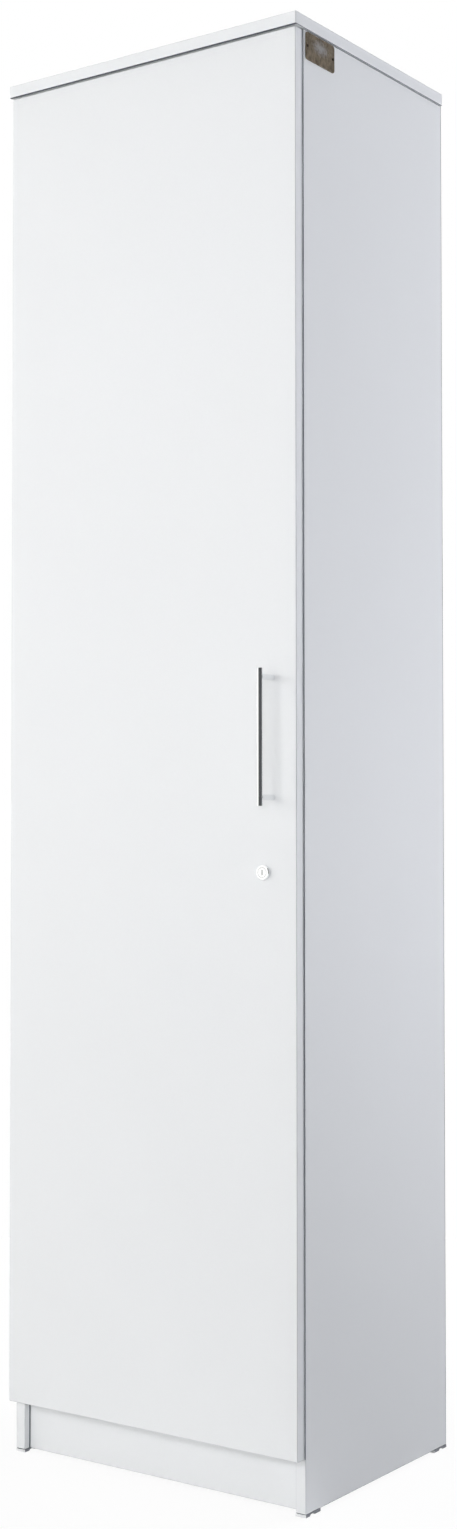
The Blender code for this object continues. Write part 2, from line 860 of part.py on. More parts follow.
cup_mesh = make_cup_mesh()
link_mesh = make_link_mesh()
arm_mesh = make_arm_mesh()
plate_mesh = make_plate_mesh()
rivet_mesh = make_rivet_mesh()
cup_pin_mesh = rod_mesh("cup_pin", pivot_pin_radius, (0, 0, -cup_pin_half_length),
                        (0, 0, cup_pin_half_length), small_steps)
for number, z in enumerate(hinge_heights, 1):
    prefix = "hinge_%d_" % number
    plate = add_object(prefix + "mounting_plate", plate_mesh, nickel_steel)
    put(plate, (-inner_x, front_y, z))
    arm = add_object(prefix + "arm", arm_mesh, nickel_steel)
    smooth(put(arm, (-inner_x, front_y, z)))
    arm_pin = add_object(prefix + "arm_pin", rivet_mesh, zinc_steel)
    smooth(put(arm_pin, arm_pivot + Vector((0, 0, z))))
    link = add_object(prefix + "link", link_mesh, nickel_steel)
    smooth(put(link, arm_pivot + Vector((0, 0, z)), link_axis))
    cup = add_object(prefix + "cup", cup_mesh, nickel_steel)
    smooth(put(cup, (cup_x, door_back_y, z), door_axis))
    cup_pin = add_object(prefix + "cup_pin", cup_pin_mesh, zinc_steel)
    smooth(put(cup_pin, cup_pivot + Vector((0, 0, z)), door_axis))

# Lock: every piece's origin is on the lock's axis at the door's front face

plate_front_y = door_thickness + seat_gap
plate_back_y = plate_front_y + lock_plate_thickness
barrel_end = plate_back_y + seat_gap
crank_front = barrel_end + seat_gap
crank_back = crank_front + crank_disc_thickness
case_front = plate_back_y + seat_gap
case_back = case_front + case_depth
crank_radius = bolt_travel / 2 / math.sin(math.radians(plug_turn_degrees / 2))
crank_disc_radius = crank_radius + crank_pin_radius + seat_gap
crank_rest_x = -bolt_travel / 2
crank_rest_z = -crank_radius * math.cos(math.radians(plug_turn_degrees / 2))
strike_inner_x = inner_x - strike_reach - lock_x
bolt_tip_x = strike_inner_x - bolt_strike_gap
case_bolt_end = bolt_tip_x - bolt_tip_proud


def make_cylinder_mesh():
    """The lock's barrel with its round face, bored for the plug."""
    bore = plug_radius + seat_gap
    profile = [
        (bore, -lock_projection),
        (lock_face_radius - lock_face_round, -lock_projection),
        (lock_face_radius, -lock_projection + lock_face_round),
        (lock_face_radius, -seat_gap),
        (lock_barrel_radius, -seat_gap),
        (lock_barrel_radius, barrel_end),
        (bore, barrel_end),
        (bore, -lock_projection),
    ]
    return turned_mesh("lock_cylinder", profile, fine_steps)


def make_plug_mesh():
    """The plug that the key turns, with its crank disc and crank pin."""
    profile = [
        (0, -lock_projection),
        (plug_radius, -lock_projection),
        (plug_radius, crank_front),
        (crank_disc_radius, crank_front),
        (crank_disc_radius, crank_back),
        (0, crank_back),
    ]
    plug = turned_mesh("lock_plug", profile)
    pin_end = crank_back + 2 * seat_gap + bolt_tail_thickness
    pin = rod_mesh("crank_pin", crank_pin_radius, (crank_rest_x, crank_back - seat_gap, crank_rest_z),
                   (crank_rest_x, pin_end, crank_rest_z), small_steps)
    keyway = block_mesh("keyway", (-keyway_width / 2, -lock_projection - cut_overrun, -keyway_height / 2),
                        (keyway_width / 2, -lock_projection + keyway_depth, keyway_height / 2))
    return combine(plug, [("UNION", pin), ("DIFFERENCE", keyway)])


def make_bolt_mesh():
    """A square bolt with a thinner tail, slotted for the crank pin."""
    front = crank_back + seat_gap
    tail_back = front + bolt_tail_thickness
    head_start = bolt_tip_x - bolt_head_length
    tail = block_mesh("lock_bolt", (-bolt_tail_back, front, -bolt_half_height),
                      (head_start + cut_overrun, tail_back, bolt_half_height))
    head = block_mesh("head", (head_start, front, -bolt_half_height),
                      (bolt_tip_x, front + bolt_head_thickness, bolt_half_height))
    slot_half = crank_pin_radius + pivot_clearance
    slot_low = -crank_radius - slot_half
    slot_high = crank_rest_z + slot_half
    slot = block_mesh("slot", (crank_rest_x - slot_half, front - cut_overrun, slot_low),
                      (crank_rest_x + slot_half, tail_back + cut_overrun, slot_high))
    return combine(tail, [("UNION", head), ("DIFFERENCE", slot)])


def make_case_mesh():
    """The pressed case, open towards the door, with the bolt's slot in its free edge."""
    outline = rounded_rectangle((-case_free_end, -case_half_height), (case_bolt_end, case_half_height),
                                case_corner_radius)
    outer = outline_mesh("lock_case", [outline], case_depth / 2, "XZ")
    outer.transform(Matrix.Translation((0, (case_front + case_back) / 2, 0)))
    room_half_height = case_half_height - case_wall
    room_low = (-case_free_end + case_wall, case_front - cut_overrun, -room_half_height)
    room_high = (case_bolt_end - case_wall, case_back - case_wall, room_half_height)
    slot_half_height = bolt_half_height + seat_gap
    slot_low = (case_bolt_end - case_wall - cut_overrun, crank_back, -slot_half_height)
    slot_back = crank_back + bolt_head_thickness + 2 * seat_gap
    slot_high = (case_bolt_end + cut_overrun, slot_back, slot_half_height)
    room = block_mesh("room", room_low, room_high)
    slot = block_mesh("slot", slot_low, slot_high)
    return combine(outer, [("DIFFERENCE", room), ("DIFFERENCE", slot)])


def make_lock_plate_mesh():
    """The flat plate between the door's back and the case."""
    loops = [
        rounded_rectangle((-case_free_end, -case_half_height), (case_bolt_end, case_half_height),
                          case_corner_radius),
        circle((0, 0), lock_barrel_radius + seat_gap, fine_steps),
    ]
    plate = outline_mesh("lock_plate", loops, lock_plate_thickness / 2, "XZ")
    plate.transform(Matrix.Translation((0, (plate_front_y + plate_back_y) / 2, 0)))
    return plate


lock_place = (lock_x, door_front_y, lock_height)
lock_pieces = (
    ("lock_cylinder", make_cylinder_mesh(), bright_chrome, door_axis),
    ("lock_plate", make_lock_plate_mesh(), zinc_steel, door_axis),
    ("lock_case", make_case_mesh(), zinc_steel, door_axis),
    ("lock_plug", make_plug_mesh(), bright_chrome, lock_axis),
    ("lock_bolt", make_bolt_mesh(), zinc_steel, bolt_guide),
)
for name, mesh, material, carrier in lock_pieces:
    smooth(put(add_object(name, mesh, material), lock_place, carrier))


def make_strike_mesh():
    """An angle on the side board: one leg is screwed down, the other stops the thrown bolt."""
    leg_high = -seat_gap
    leg_low = leg_high - strike_thickness
    stop_back = crank_back - door_thickness - door_front_gap
    stop_front = stop_back - strike_thickness
    leg_end = stop_front + strike_depth
    screw_y = (stop_back + leg_end) / 2
    screw_z = strike_screw_spacing / 2
    loops = [
        rounded_rectangle((stop_front, -strike_half_height), (leg_end, strike_half_height),
                          strike_fold_radius),
        circle((screw_y, screw_z), strike_screw_radius),
        circle((screw_y, -screw_z), strike_screw_radius),
    ]
    leg = outline_mesh("lock_strike", loops, strike_thickness / 2, "YZ")
    leg.transform(Matrix.Translation(((leg_low + leg_high) / 2, 0, 0)))
    stop = block_mesh("stop", (-strike_reach, stop_front, -strike_half_height),
                      (leg_low + strike_fold_radius, stop_back, strike_half_height))
    return combine(leg, [("UNION", stop)])


strike = add_object("lock_strike", make_strike_mesh(), zinc_steel)
put(strike, (inner_x, front_y, lock_height))

cutters.hide_render = True
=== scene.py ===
import math

import bmesh
import bpy
from bpy.props import FloatProperty, FloatVectorProperty, IntProperty, PointerProperty
from mathutils import Matrix, Vector


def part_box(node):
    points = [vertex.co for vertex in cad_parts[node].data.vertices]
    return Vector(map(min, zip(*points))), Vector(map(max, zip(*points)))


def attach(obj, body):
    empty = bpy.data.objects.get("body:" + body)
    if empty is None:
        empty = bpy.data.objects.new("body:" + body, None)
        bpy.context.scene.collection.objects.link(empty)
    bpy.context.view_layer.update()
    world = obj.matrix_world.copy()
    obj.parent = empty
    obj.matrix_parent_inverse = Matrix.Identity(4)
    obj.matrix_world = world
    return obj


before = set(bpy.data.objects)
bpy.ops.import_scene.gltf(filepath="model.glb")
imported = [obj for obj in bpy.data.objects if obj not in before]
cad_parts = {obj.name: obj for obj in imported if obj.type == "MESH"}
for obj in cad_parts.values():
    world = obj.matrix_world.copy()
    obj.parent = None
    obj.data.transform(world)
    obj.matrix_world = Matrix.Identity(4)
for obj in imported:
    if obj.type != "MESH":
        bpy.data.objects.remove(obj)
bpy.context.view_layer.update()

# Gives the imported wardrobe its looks: laminate, metals, a bare plate, screw heads, caps, nails and a studio.
# Lengths are in metres. A share is of the size that its name or comment gives.

bl_info = {
    "name": "Tall Wardrobe Looks",
    "version": (1, 0, 0),
    "blender": (4, 5, 0),
    "location": "3D View > Sidebar > Wardrobe",
    "description": "Finishes, small fasteners and studio for a tall laminated wardrobe",
    "category": "Object",
}

# The photograph's frame and its camera, solved from the wardrobe's straight edges
PHOTO_WIDTH_PX = 457
PHOTO_HEIGHT_PX = 1529
FOCAL_LENGTH_PX = 2072.496
AXIS_ACROSS_PX = 202.758
AXIS_DOWN_PX = 742.868
CAMERA_PITCH = 0.03449
CAMERA_YAW = 0.62153
CAMERA_FROM_SIDE_FRONT = Vector((1.744754, -2.319732, 0.924473))
SENSOR_MM = 36.0
CLIP_START = 0.01

# Nodes by finish, each by its name or a part of it; where two fit, the later row of finish_fittings holds
BOARDS = ("left_side", "right_side", "top_panel", "bottom_panel", "plinth", "hat_shelf", "door")
NICKEL_PARTS = ("_arm", "_link", "_cup", "_mounting_plate")
ZINC_PARTS = ("_pin", "handle_screw_", "lock_plate", "lock_case", "lock_bolt", "lock_strike",
              "rail_bracket_", "shelf_support_")
CHROME_PARTS = ("handle_bar", "handle_post_", "clothes_rail", "lock_cylinder", "lock_plug")
BUFFER_PARTS = ("door_buffer_",)
FOOT_PARTS = ("foot_",)
HINGES = range(1, 5)

# The two ends, or the two sides, of a pair
BOTH = (-1, 1)

# The Mix node's colour sockets, by index, because sockets of other kinds share their names
MIX_FIRST, MIX_SECOND, MIX_RESULT = 6, 7, 2

# Metals: roughness, marks in a metre along each axis, spread of the roughness, depth of a mark
CHROME_LOOK = (0.09, (900, 900, 60), 0.05, 0.000004)
NICKEL_LOOK = (0.26, (300, 300, 1400), 0.08, 0.000002)
ZINC_LOOK = (0.36, (700, 700, 700), 0.22, 0.00002)
DARK_PIN_LOOK = (0.6, (900, 900, 900), 0.2, 0.00001)
DARK_PIN_SHARE = 0.25
MARK_DETAIL = 3.0
MARK_ROUGHNESS = 0.6
MARK_TONE_SPREAD = 0.12

# Plastics: roughness, width of a pebble, depth of the relief
BUFFER_LOOK = (0.35, 0.0009, 0.00001)
CAP_LOOK = (0.38, 0.0008, 0.00002)
FOOT_LOOK = (0.5, 0.0006, 0.00003)
# Where the painted shade on a glide fades out towards its white front end, measured from the front
FRONT_SHADE_FADE = (0.0004, 0.0010)

# Laminate; most of a noise's values lie in its span, round its mean
LAMINATE_ROUGHNESS = 0.42
LAMINATE_RELIEF = 0.00004
NOISE_SPAN = (0.3, 0.7)
NOISE_MEAN = 0.5
PEBBLE_DETAIL = 2.0
PEBBLE_SHARPNESS = 0.6
PEBBLE_TONES = (0.988, 1.008)
PEBBLE_ROUGHNESSES = (-0.05, 0.05)
CLOUD_SCALE = 2.2
CLOUD_DETAIL = 3.0
CLOUD_TONES = (0.990, 1.005)
# How far each box of painted shade, or of a dark rim line, reaches past its corners
DARK_BOX_OVER = 0.0002

# Hardboard; the raw face starts at shares of the board's thickness from its rear
HARDBOARD_ROUGHNESS = 0.6
HARDBOARD_RAW_FROM = 0.2
HARDBOARD_RAW_FULL = 0.1
FIBRE_SCALE = 420.0
FIBRE_DETAIL = 5.0
FIBRE_RELIEF = 0.00008
FIBRE_PATCH_SCALE = 6.0
FIBRE_PATCH_DETAIL = 4.0
FIBRE_LEAST_TONE = 0.75
FIBRE_TONE_SHARE = 0.34
FIBRE_PATCH_TONE_SHARE = 0.16

# Aged bronze: grain, broad patches and streaks; the worn patch is measured in half heights of the plate
BRONZE_ROUGHNESS = 0.45
BRONZE_METALLIC = 0.6
BRONZE_GRAIN_SCALE = 300.0
BRONZE_GRAIN_DETAIL = 5.0
BRONZE_GRAIN_SHARPNESS = 0.65
BRONZE_PATCH_SCALE = 85.0
BRONZE_PATCH_DETAIL = 3.0
BRONZE_STREAKS = (700.0, 700.0, 130.0)
BRONZE_STREAK_DETAIL = 2.0
BRONZE_RUBBED = (0.34, 0.66)
BRONZE_ROUGHNESSES = (0.60, 0.40)
BRONZE_RELIEF = 0.00015
WORN_STRETCH = (1.0, 0.5, 1.0)
WORN_FADE = (0.10, 0.60)
WORN_MOST = 0.80
WORN_RAISE = 0.13

# The bare plate: shares of its thickness for the rim, the border and the pins; the pins' inset is in radii
PLATE_CORNER_STEPS = 8
PLATE_RIM_STEPS = 2
PLATE_RIM = 0.3
PLATE_BORDER = 0.8
PLATE_STEP = 0.2
PLATE_SUNK = 0.15
PIN_BASE = 0.35
PIN_RISE = 0.6
PIN_ROUNDING = 0.25
PIN_INSET = 2
PIN_STEPS = 24

# Small pieces: the rings of a head are (share of the last radius, share of the rise), from the foot up
SHARP_ANGLE = math.radians(32)
MICROMETRE_DIGITS = 6
ROUNDING_STEPS = 3
SCREW_RINGS = ((1.0, 0.45), (0.94, 0.33), (0.82, 0.22))
NAIL_RINGS = ((0.92, 0.55), (0.6, 0.35))
NAIL_STEPS = 12
NAIL_RADIUS = 0.0024
NAIL_RISE = 0.0006
NAIL_INSET = 0.0065
NAIL_SPACING = 0.12
CAP_ROUNDING = 0.5
CAM_SETBACK = 0.060

# The cross recess: a ring of points, of which those on the diagonals are drawn in to make the arms
CROSS_POINTS = 12
CROSS_REACH = 0.50
CROSS_DRAWN_IN = 0.366
CROSS_TOLERANCE = 0.01
CROSS_TAPER = 0.7
CROSS_DEPTH = 0.8

# Where the screws sit on the fittings
PLATE_FACE = 0.0020
PLATE_SCREW_SHIFT = 0.003
PLATE_SCREW_SPREAD = 0.016
ARM_FACE = 0.0094
ARM_SCREWS = (0.012, 0.036)
CUP_FACE = 0.0013
CUP_SCREW_INSET = 0.0083
CUP_SCREW_SPREAD = 0.024
LOCK_SCREW_INSET = 0.0052
STRIKE_FACE = 0.0015
STRIKE_SCREW_SETBACK = 0.01125
STRIKE_SCREW_SPREAD = 0.010
BRACKET_SCREW_SPREAD = 0.012
BRACKET_FACE = 0.0025

# Floor: its paint, where the bright part ahead of the wardrobe ends, and where its shadow fades out
FLOOR_GAP = 0.0005
FLOOR_PAINT = 0.9
FLOOR_BEHIND = (-0.16, -0.10)
FLOOR_BESIDE = (0.26, 0.36)
FLOOR_FADE = (0.5, 1.6)

# Screens: the turns of their ends, in degrees from straight ahead towards the right
SCREEN_TURNS = (-107, -70, -40, -20, 0, 20, 37, 60, 100, 140, 180)
BRIGHT_SEEN_TO = 0
LEFT_COLOUR_TO = 20
SCREEN_STEPS = 8
CEILING_STEPS = 32


def colour_prop(name, description, value):
    return FloatVectorProperty(name=name, description=description, subtype="COLOR", size=3,
                               min=0.0, max=1.0, default=value)


def length_prop(name, description, value):
    return FloatProperty(name=name, description=description, unit="LENGTH", min=0.0, precision=5,
                         default=value)


def share_prop(name, description, value):
    return FloatProperty(name=name, description=description, subtype="FACTOR", min=0.0, max=1.0,
                         default=value)


def light_prop(name, description, value):
    return FloatProperty(name=name, description=description, min=0.0, default=value)


def lights_prop(name, description, values):
    return FloatVectorProperty(name=name, description=description, size=len(values), min=0.0,
                               default=values)


class WardrobeFinish(bpy.types.PropertyGroup):
    laminate: colour_prop("Laminate", "White of the board faces", (0.855, 0.868, 0.880))
    edging: colour_prop("Edging", "Thin line where the edging meets the face", (0.53, 0.55, 0.57))
    # The door's band is painted a shade lighter than the laminate, so that its end strip shows as bright as
    # the side beside it
    band: colour_prop("Band", "Edge band of the door, a shade lighter", (0.915, 0.930, 0.940))
    # Painted shade: this dark colour is painted into the boards where they meet and stands in for the shade in
    # the joints. It also draws a few dark lines along rims.
    seam: colour_prop("Seam", "Shade in the joint between two boards", (0.06, 0.075, 0.10))
    hardboard: colour_prop("Hardboard", "Lacquered face of the back panel", (0.80, 0.80, 0.79))
    fibre: colour_prop("Fibre", "Raw rear face of the back panel", (0.42, 0.30, 0.19))
    chrome: colour_prop("Chrome", "Handle, rail and lock", (0.86, 0.87, 0.88))
    nickel: colour_prop("Nickel", "Pressed hinge parts", (0.64, 0.62, 0.58))
    zinc: colour_prop("Zinc", "Pins, screws, lock case", (0.60, 0.62, 0.64))
    bronze: colour_prop("Bronze", "Bare plate on the side", (0.150, 0.116, 0.074))
    bronze_light: colour_prop("Lighter bronze", "Lighter mottling of the plate", (0.30, 0.240, 0.165))
    bronze_worn: colour_prop("Worn bronze", "Rubbed middle of the plate", (0.46, 0.45, 0.445))
    # The glides are white plastic; this grey is painted over all but their front ends and stands in for the
    # shade on them
    plastic: colour_prop("Plastic", "Glides under the sides", (0.22, 0.23, 0.25))
    unshaded_front: colour_prop("Lip", "White front end of a glide", (0.84, 0.85, 0.86))
    cap: colour_prop("Caps", "Press-in covers of the cams", (0.80, 0.81, 0.82))
    rubber: colour_prop("Buffer", "Clear soft door buffers", (0.82, 0.82, 0.79))
    pebble: length_prop("Pebble", "Width of one pebble of the laminate's texture", 0.0011)
    # Sizes of the boxes of painted shade in the joints. The end line also covers the dark line on the top
    # panel's upper rims and the painted contact shade along the sides' lower rims.
    side_painted_shade: length_prop("Side painted shade", "Height of the shade where a side meets the top panel", 0.0006)
    rim_painted_shade: length_prop("Rim painted shade", "Height of the shade on the top panel's lower rim", 0.0005)
    end_line_and_shade: length_prop("End line and shade", "Height of the line on the top panel's upper and the sides' lower rims",
                          0.0006)
    rear_line: length_prop("Rear line", "Width of the line on a side's rear rim", 0.0016)
    corner_painted_shade: length_prop("Corner painted shade", "Width of the shade on a side, in front of the plinth", 0.0020)
    door_painted_shade: length_prop("Door painted shade", "Width of the shade on a side's front edge, behind the door", 0.0013)
    top_painted_shade: length_prop("Top painted shade", "Depth of the shade under the top panel, over the door", 0.0034)
    edging_line: length_prop("Edging line", "Width of the line along the edging", 0.0012)


class WardrobeFittings(bpy.types.PropertyGroup):
    plate_width: length_prop("Plate width", "Bare plate, front to back", 0.072)
    plate_height: length_prop("Plate height", "Bare plate, top to bottom", 0.038)
    plate_thickness: length_prop("Plate thickness", "Bare plate off the side", 0.0012)
    plate_round: length_prop("Plate corners", "Radius of the plate's corners", 0.0045)
    plate_setback: length_prop("Plate setback", "From the side's front edge", 0.005)
    plate_drop: length_prop("Plate drop", "From the top panel's underside", 0.002)
    pin_radius: length_prop("Plate pins", "Radius of the plate's two pins", 0.0019)
    screw_radius: length_prop("Screw heads", "Radius of the larger screw heads", 0.0036)
    small_screw_radius: length_prop("Small screw heads", "Radius of the smaller screw heads", 0.0027)
    screw_rise: length_prop("Screw rise", "Height of a screw head", 0.0010)
    cap_radius: length_prop("Cap radius", "Press-in cover of a cam", 0.0088)
    cap_rise: length_prop("Cap rise", "Height of a press-in cover", 0.0009)
    cam_inset: length_prop("Cam inset", "Cam centre from the board's end", 0.034)
    round_steps: IntProperty(name="Round steps", description="Segments round a full turn", default=48,
                             min=12, max=256)


class WardrobeStudio(bpy.types.PropertyGroup):
    floor_shade: share_prop("Floor shade", "How bright the floor ahead is to light that bounces", 0.61)
    floor_shade_beside: share_prop("Floor shade beside", "The same, for the floor beside and behind", 0.08)
    floor_white: share_prop("Floor white", "How much of the floor's look is plain white", 0.93)
    floor_size: length_prop("Floor size", "Half the side of the floor", 40.0)
    screen_radius: length_prop("Screen radius", "Distance of the screens", 4.0)
    screen_low: length_prop("Lower split", "Height at which the middle row of screens starts", 1.2)
    screen_high: length_prop("Upper split", "Height at which the upper row of screens starts", 2.5)
    screen_height: length_prop("Screen height", "Height of the screens", 4.4)
    ceiling_radius: length_prop("Ceiling radius", "Radius of the screen overhead", 1.0)
    ceiling_cast: light_prop("Ceiling light", "Light of the screen overhead", 3.6)
    dark_seen: light_prop("Dark screens seen", "Grey of the right-hand screens in gloss", 0.10)
    bright_seen: light_prop("Bright screens seen", "White of the left-hand screens in gloss", 1.25)
    low_cast: lights_prop("Lower light", "Light of the lower screens, from left to right",
                          (0.0, 0.0, 0.0, 0.95, 6.2, 0.45, 0.0, 0.0, 0.62, 10.04))
    middle_cast: lights_prop("Middle light", "Light of the middle screens, from left to right",
                             (0.0, 5.33, 0.0, 4.92, 0.0, 7.68, 0.79, 0.0, 0.0, 6.75))
    high_cast: lights_prop("Upper light", "Light of the upper screens, from left to right",
                           (6.16, 0.0, 0.0, 0.6, 0.0, 0.0, 0.76, 0.0, 0.0, 6.68))
    left_colour: colour_prop("Left light", "Colour of the screens on the left and ahead", (1.0, 0.993, 0.975))
    right_colour: colour_prop("Right light", "Colour of the screens on the right", (0.935, 0.95, 1.0))


def low_high(name):
    """A node's lowest and highest corners."""
    low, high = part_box(name)
    return Vector(low), Vector(high)


def node_names(parts):
    return [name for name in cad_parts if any(part in name for part in parts)]


# Node tools

def fill_inputs(tree, made, inputs):
    """Gives a node its inputs, each a value to set or a socket to link."""
    for key, value in inputs.items():
        if isinstance(value, bpy.types.NodeSocket):
            tree.links.new(value, made.inputs[key])
        else:
            made.inputs[key].default_value = value


def add_node(tree, kind, inputs=None, **settings):
    made = tree.nodes.new(kind)
    for name, value in settings.items():
        setattr(made, name, value)
    fill_inputs(tree, made, inputs or {})
    return made


def place_group(tree, name, inputs):
    made = add_node(tree, "ShaderNodeGroup", node_tree=bpy.data.node_groups[name])
    fill_inputs(tree, made, inputs)
    return made.outputs


def maths(tree, operation, *values):
    return add_node(tree, "ShaderNodeMath", dict(enumerate(values)), operation=operation).outputs[0]


def vector_maths(tree, operation, *values):
    made = add_node(tree, "ShaderNodeVectorMath", dict(enumerate(values)), operation=operation)
    return made.outputs["Value" if operation in ("LENGTH", "DOT_PRODUCT") else "Vector"]


def split(tree, vector):
    return add_node(tree, "ShaderNodeSeparateXYZ", {0: vector}).outputs


def remap(tree, value, source, target, **settings):
    """Moves a value from one span to another and holds it there."""
    return add_node(tree, "ShaderNodeMapRange",
                    {"Value": value, "From Min": source[0], "From Max": source[1],
                     "To Min": target[0], "To Max": target[1]}, **settings).outputs["Result"]


def noise(tree, vector, scale, detail, **inputs):
    return add_node(tree, "ShaderNodeTexNoise",
                    {"Vector": vector, "Scale": scale, "Detail": detail, **inputs}).outputs["Fac"]


def mix_colours(tree, mask, first, second, **settings):
    """Two colours, each a value or a socket, mixed by a mask."""
    ends = [value if isinstance(value, bpy.types.NodeSocket) else (*value, 1.0) for value in (first, second)]
    return add_node(tree, "ShaderNodeMix", {0: mask, MIX_FIRST: ends[0], MIX_SECOND: ends[1]},
                    data_type="RGBA", **settings).outputs[MIX_RESULT]


def shade(tree, shader, colour, tone):
    """Gives the shader a colour times a tone that changes over the surface."""
    shaded = mix_colours(tree, 1.0, colour, tone, blend_type="MULTIPLY")
    tree.links.new(shaded, shader.inputs["Base Color"])


def bump(tree, shader, height, distance):
    raised = add_node(tree, "ShaderNodeBump", {"Height": height, "Distance": distance, "Strength": 1.0})
    tree.links.new(raised.outputs["Normal"], shader.inputs["Normal"])


def mix_shaders(tree, factor, first, second):
    return add_node(tree, "ShaderNodeMixShader", {0: factor, 1: first, 2: second}).outputs[0]


def start_group(name, inputs, outputs):
    """A shader node group with named sockets: inputs are (name, kind, value)."""
    group = bpy.data.node_groups.new(name, "ShaderNodeTree")
    for label, kind, value in inputs:
        socket = group.interface.new_socket(name=label, in_out="INPUT", socket_type=kind)
        if value is not None:
            socket.default_value = value
    for label, kind in outputs:
        group.interface.new_socket(name=label, in_out="OUTPUT", socket_type=kind)
    entry = group.nodes.new("NodeGroupInput")
    leave = group.nodes.new("NodeGroupOutput")
    return group, entry.outputs, leave.inputs


def start_material(name, colour, roughness, metallic=0.0):
    """A new material, its node tree, its Principled shader and its object coordinates."""
    material = bpy.data.materials.new(name)
    material.use_nodes = True
    material.diffuse_color = (*colour, 1.0)
    tree = material.node_tree
    shader = tree.nodes["Principled BSDF"]
    fill_inputs(tree, shader, {"Base Color": (*colour, 1.0), "Roughness": roughness, "Metallic": metallic})
    place = add_node(tree, "ShaderNodeTexCoord").outputs["Object"]
    return material, tree, shader, place


def start_studio_material(name):
    """A new material for the studio, and its empty node tree."""
    material = bpy.data.materials.new(name)
    material.use_nodes = True
    material.node_tree.nodes.clear()
    return material, material.node_tree


# Shared effects

def make_pebble_group():
    """The fine pebbled face of melamine board: a tone, a roughness and a height."""
    group, entry, leave = start_group(
        "Pebbled face",
        [("Vector", "NodeSocketVector", None), ("Pebble", "NodeSocketFloat", 0.001),
         ("Roughness", "NodeSocketFloat", 0.4)],
        [("Tone", "NodeSocketFloat"), ("Roughness", "NodeSocketFloat"), ("Height", "NodeSocketFloat")])
    fine = maths(group, "DIVIDE", 1.0, entry["Pebble"])
    pebbles = noise(group, entry["Vector"], fine, PEBBLE_DETAIL, Roughness=PEBBLE_SHARPNESS)
    cloud = noise(group, entry["Vector"], CLOUD_SCALE, CLOUD_DETAIL)
    tone = maths(group, "MULTIPLY", remap(group, cloud, NOISE_SPAN, CLOUD_TONES),
                 remap(group, pebbles, NOISE_SPAN, PEBBLE_TONES))
    rough = maths(group, "ADD", entry["Roughness"], remap(group, pebbles, NOISE_SPAN, PEBBLE_ROUGHNESSES))
    group.links.new(tone, leave["Tone"])
    group.links.new(rough, leave["Roughness"])
    group.links.new(pebbles, leave["Height"])


def find_nearest(group, point, low, high):
    """How far a point lies from the nearer of a box's two faces, along each axis."""
    return vector_maths(group, "MINIMUM", vector_maths(group, "SUBTRACT", point, low),
                        vector_maths(group, "SUBTRACT", high, point))


def make_edge_group():
    """A board's edging: the line where it meets the broad faces, and the band between.

    The line lies where the middle one of the distances to the faces is small. Thin holds one for the
    board's thin axis and zero for the others.
    """
    group, entry, leave = start_group(
        "Edging line",
        [("Vector", "NodeSocketVector", None), ("Low", "NodeSocketVector", None),
         ("High", "NodeSocketVector", None), ("Thin", "NodeSocketVector", None),
         ("Width", "NodeSocketFloat", 0.001)],
        [("Mask", "NodeSocketFloat"), ("Band", "NodeSocketFloat")])
    nearest = find_nearest(group, entry["Vector"], entry["Low"], entry["High"])
    x, y, z = split(group, nearest)
    lesser = maths(group, "MINIMUM", x, y)
    greater = maths(group, "MAXIMUM", x, y)
    middle = maths(group, "MAXIMUM", lesser, maths(group, "MINIMUM", greater, z))
    width = (0.0, entry["Width"])
    mask = remap(group, middle, width, (1.0, 0.0), interpolation_type="SMOOTHSTEP")
    band = remap(group, vector_maths(group, "DOT_PRODUCT", nearest, entry["Thin"]), width, (0.0, 1.0))
    group.links.new(mask, leave["Mask"])
    group.links.new(band, leave["Band"])


def make_joint_shade_group():
    """A box of painted shade, or of a dark rim line: from one corner to the other, solid inside."""
    group, entry, leave = start_group(
        "Painted joint shade",
        [("Vector", "NodeSocketVector", None), ("From", "NodeSocketVector", None),
         ("To", "NodeSocketVector", None)],
        [("Mask", "NodeSocketFloat")])
    x, y, z = split(group, find_nearest(group, entry["Vector"], entry["From"], entry["To"]))
    least = maths(group, "MINIMUM", x, maths(group, "MINIMUM", y, z))
    group.links.new(maths(group, "GREATER_THAN", least, 0.0), leave["Mask"])


def make_metal_group():
    """Fine drawn or brushed marks, as many in a metre along each axis as Marks says."""
    group, entry, leave = start_group(
        "Drawn metal",
        [("Vector", "NodeSocketVector", None), ("Marks", "NodeSocketVector", None),
         ("Roughness", "NodeSocketFloat", 0.2), ("Spread", "NodeSocketFloat", 0.05)],
        [("Roughness", "NodeSocketFloat"), ("Height", "NodeSocketFloat"), ("Tone", "NodeSocketFloat")])
    stretched = vector_maths(group, "MULTIPLY", entry["Vector"], entry["Marks"])
    marks = noise(group, stretched, 1.0, MARK_DETAIL, Roughness=MARK_ROUGHNESS)
    swing = maths(group, "SUBTRACT", marks, NOISE_MEAN)
    rough = maths(group, "ADD", entry["Roughness"], maths(group, "MULTIPLY", swing, entry["Spread"]))
    tone = maths(group, "ADD", 1.0, maths(group, "MULTIPLY", swing, MARK_TONE_SPREAD))
    group.links.new(rough, leave["Roughness"])
    group.links.new(marks, leave["Height"])
    group.links.new(tone, leave["Tone"])


def make_groups():
    for name, maker in (("Pebbled face", make_pebble_group), ("Edging line", make_edge_group),
                        ("Painted joint shade", make_joint_shade_group), ("Drawn metal", make_metal_group)):
        if name not in bpy.data.node_groups:
            maker()


# Materials

def pebble_face(tree, shader, place, colour, roughness, pebble, relief):
    """Gives the shader the pebbled face in a colour."""
    face = place_group(tree, "Pebbled face", {"Vector": place, "Pebble": pebble, "Roughness": roughness})
    shade(tree, shader, colour, face["Tone"])
    tree.links.new(face["Roughness"], shader.inputs["Roughness"])
    bump(tree, shader, face["Height"], relief)


def grow_boxes(*boxes):
    over = Vector((DARK_BOX_OVER, DARK_BOX_OVER, DARK_BOX_OVER))
    return [(Vector(first) - over, Vector(last) + over) for first, last in boxes]


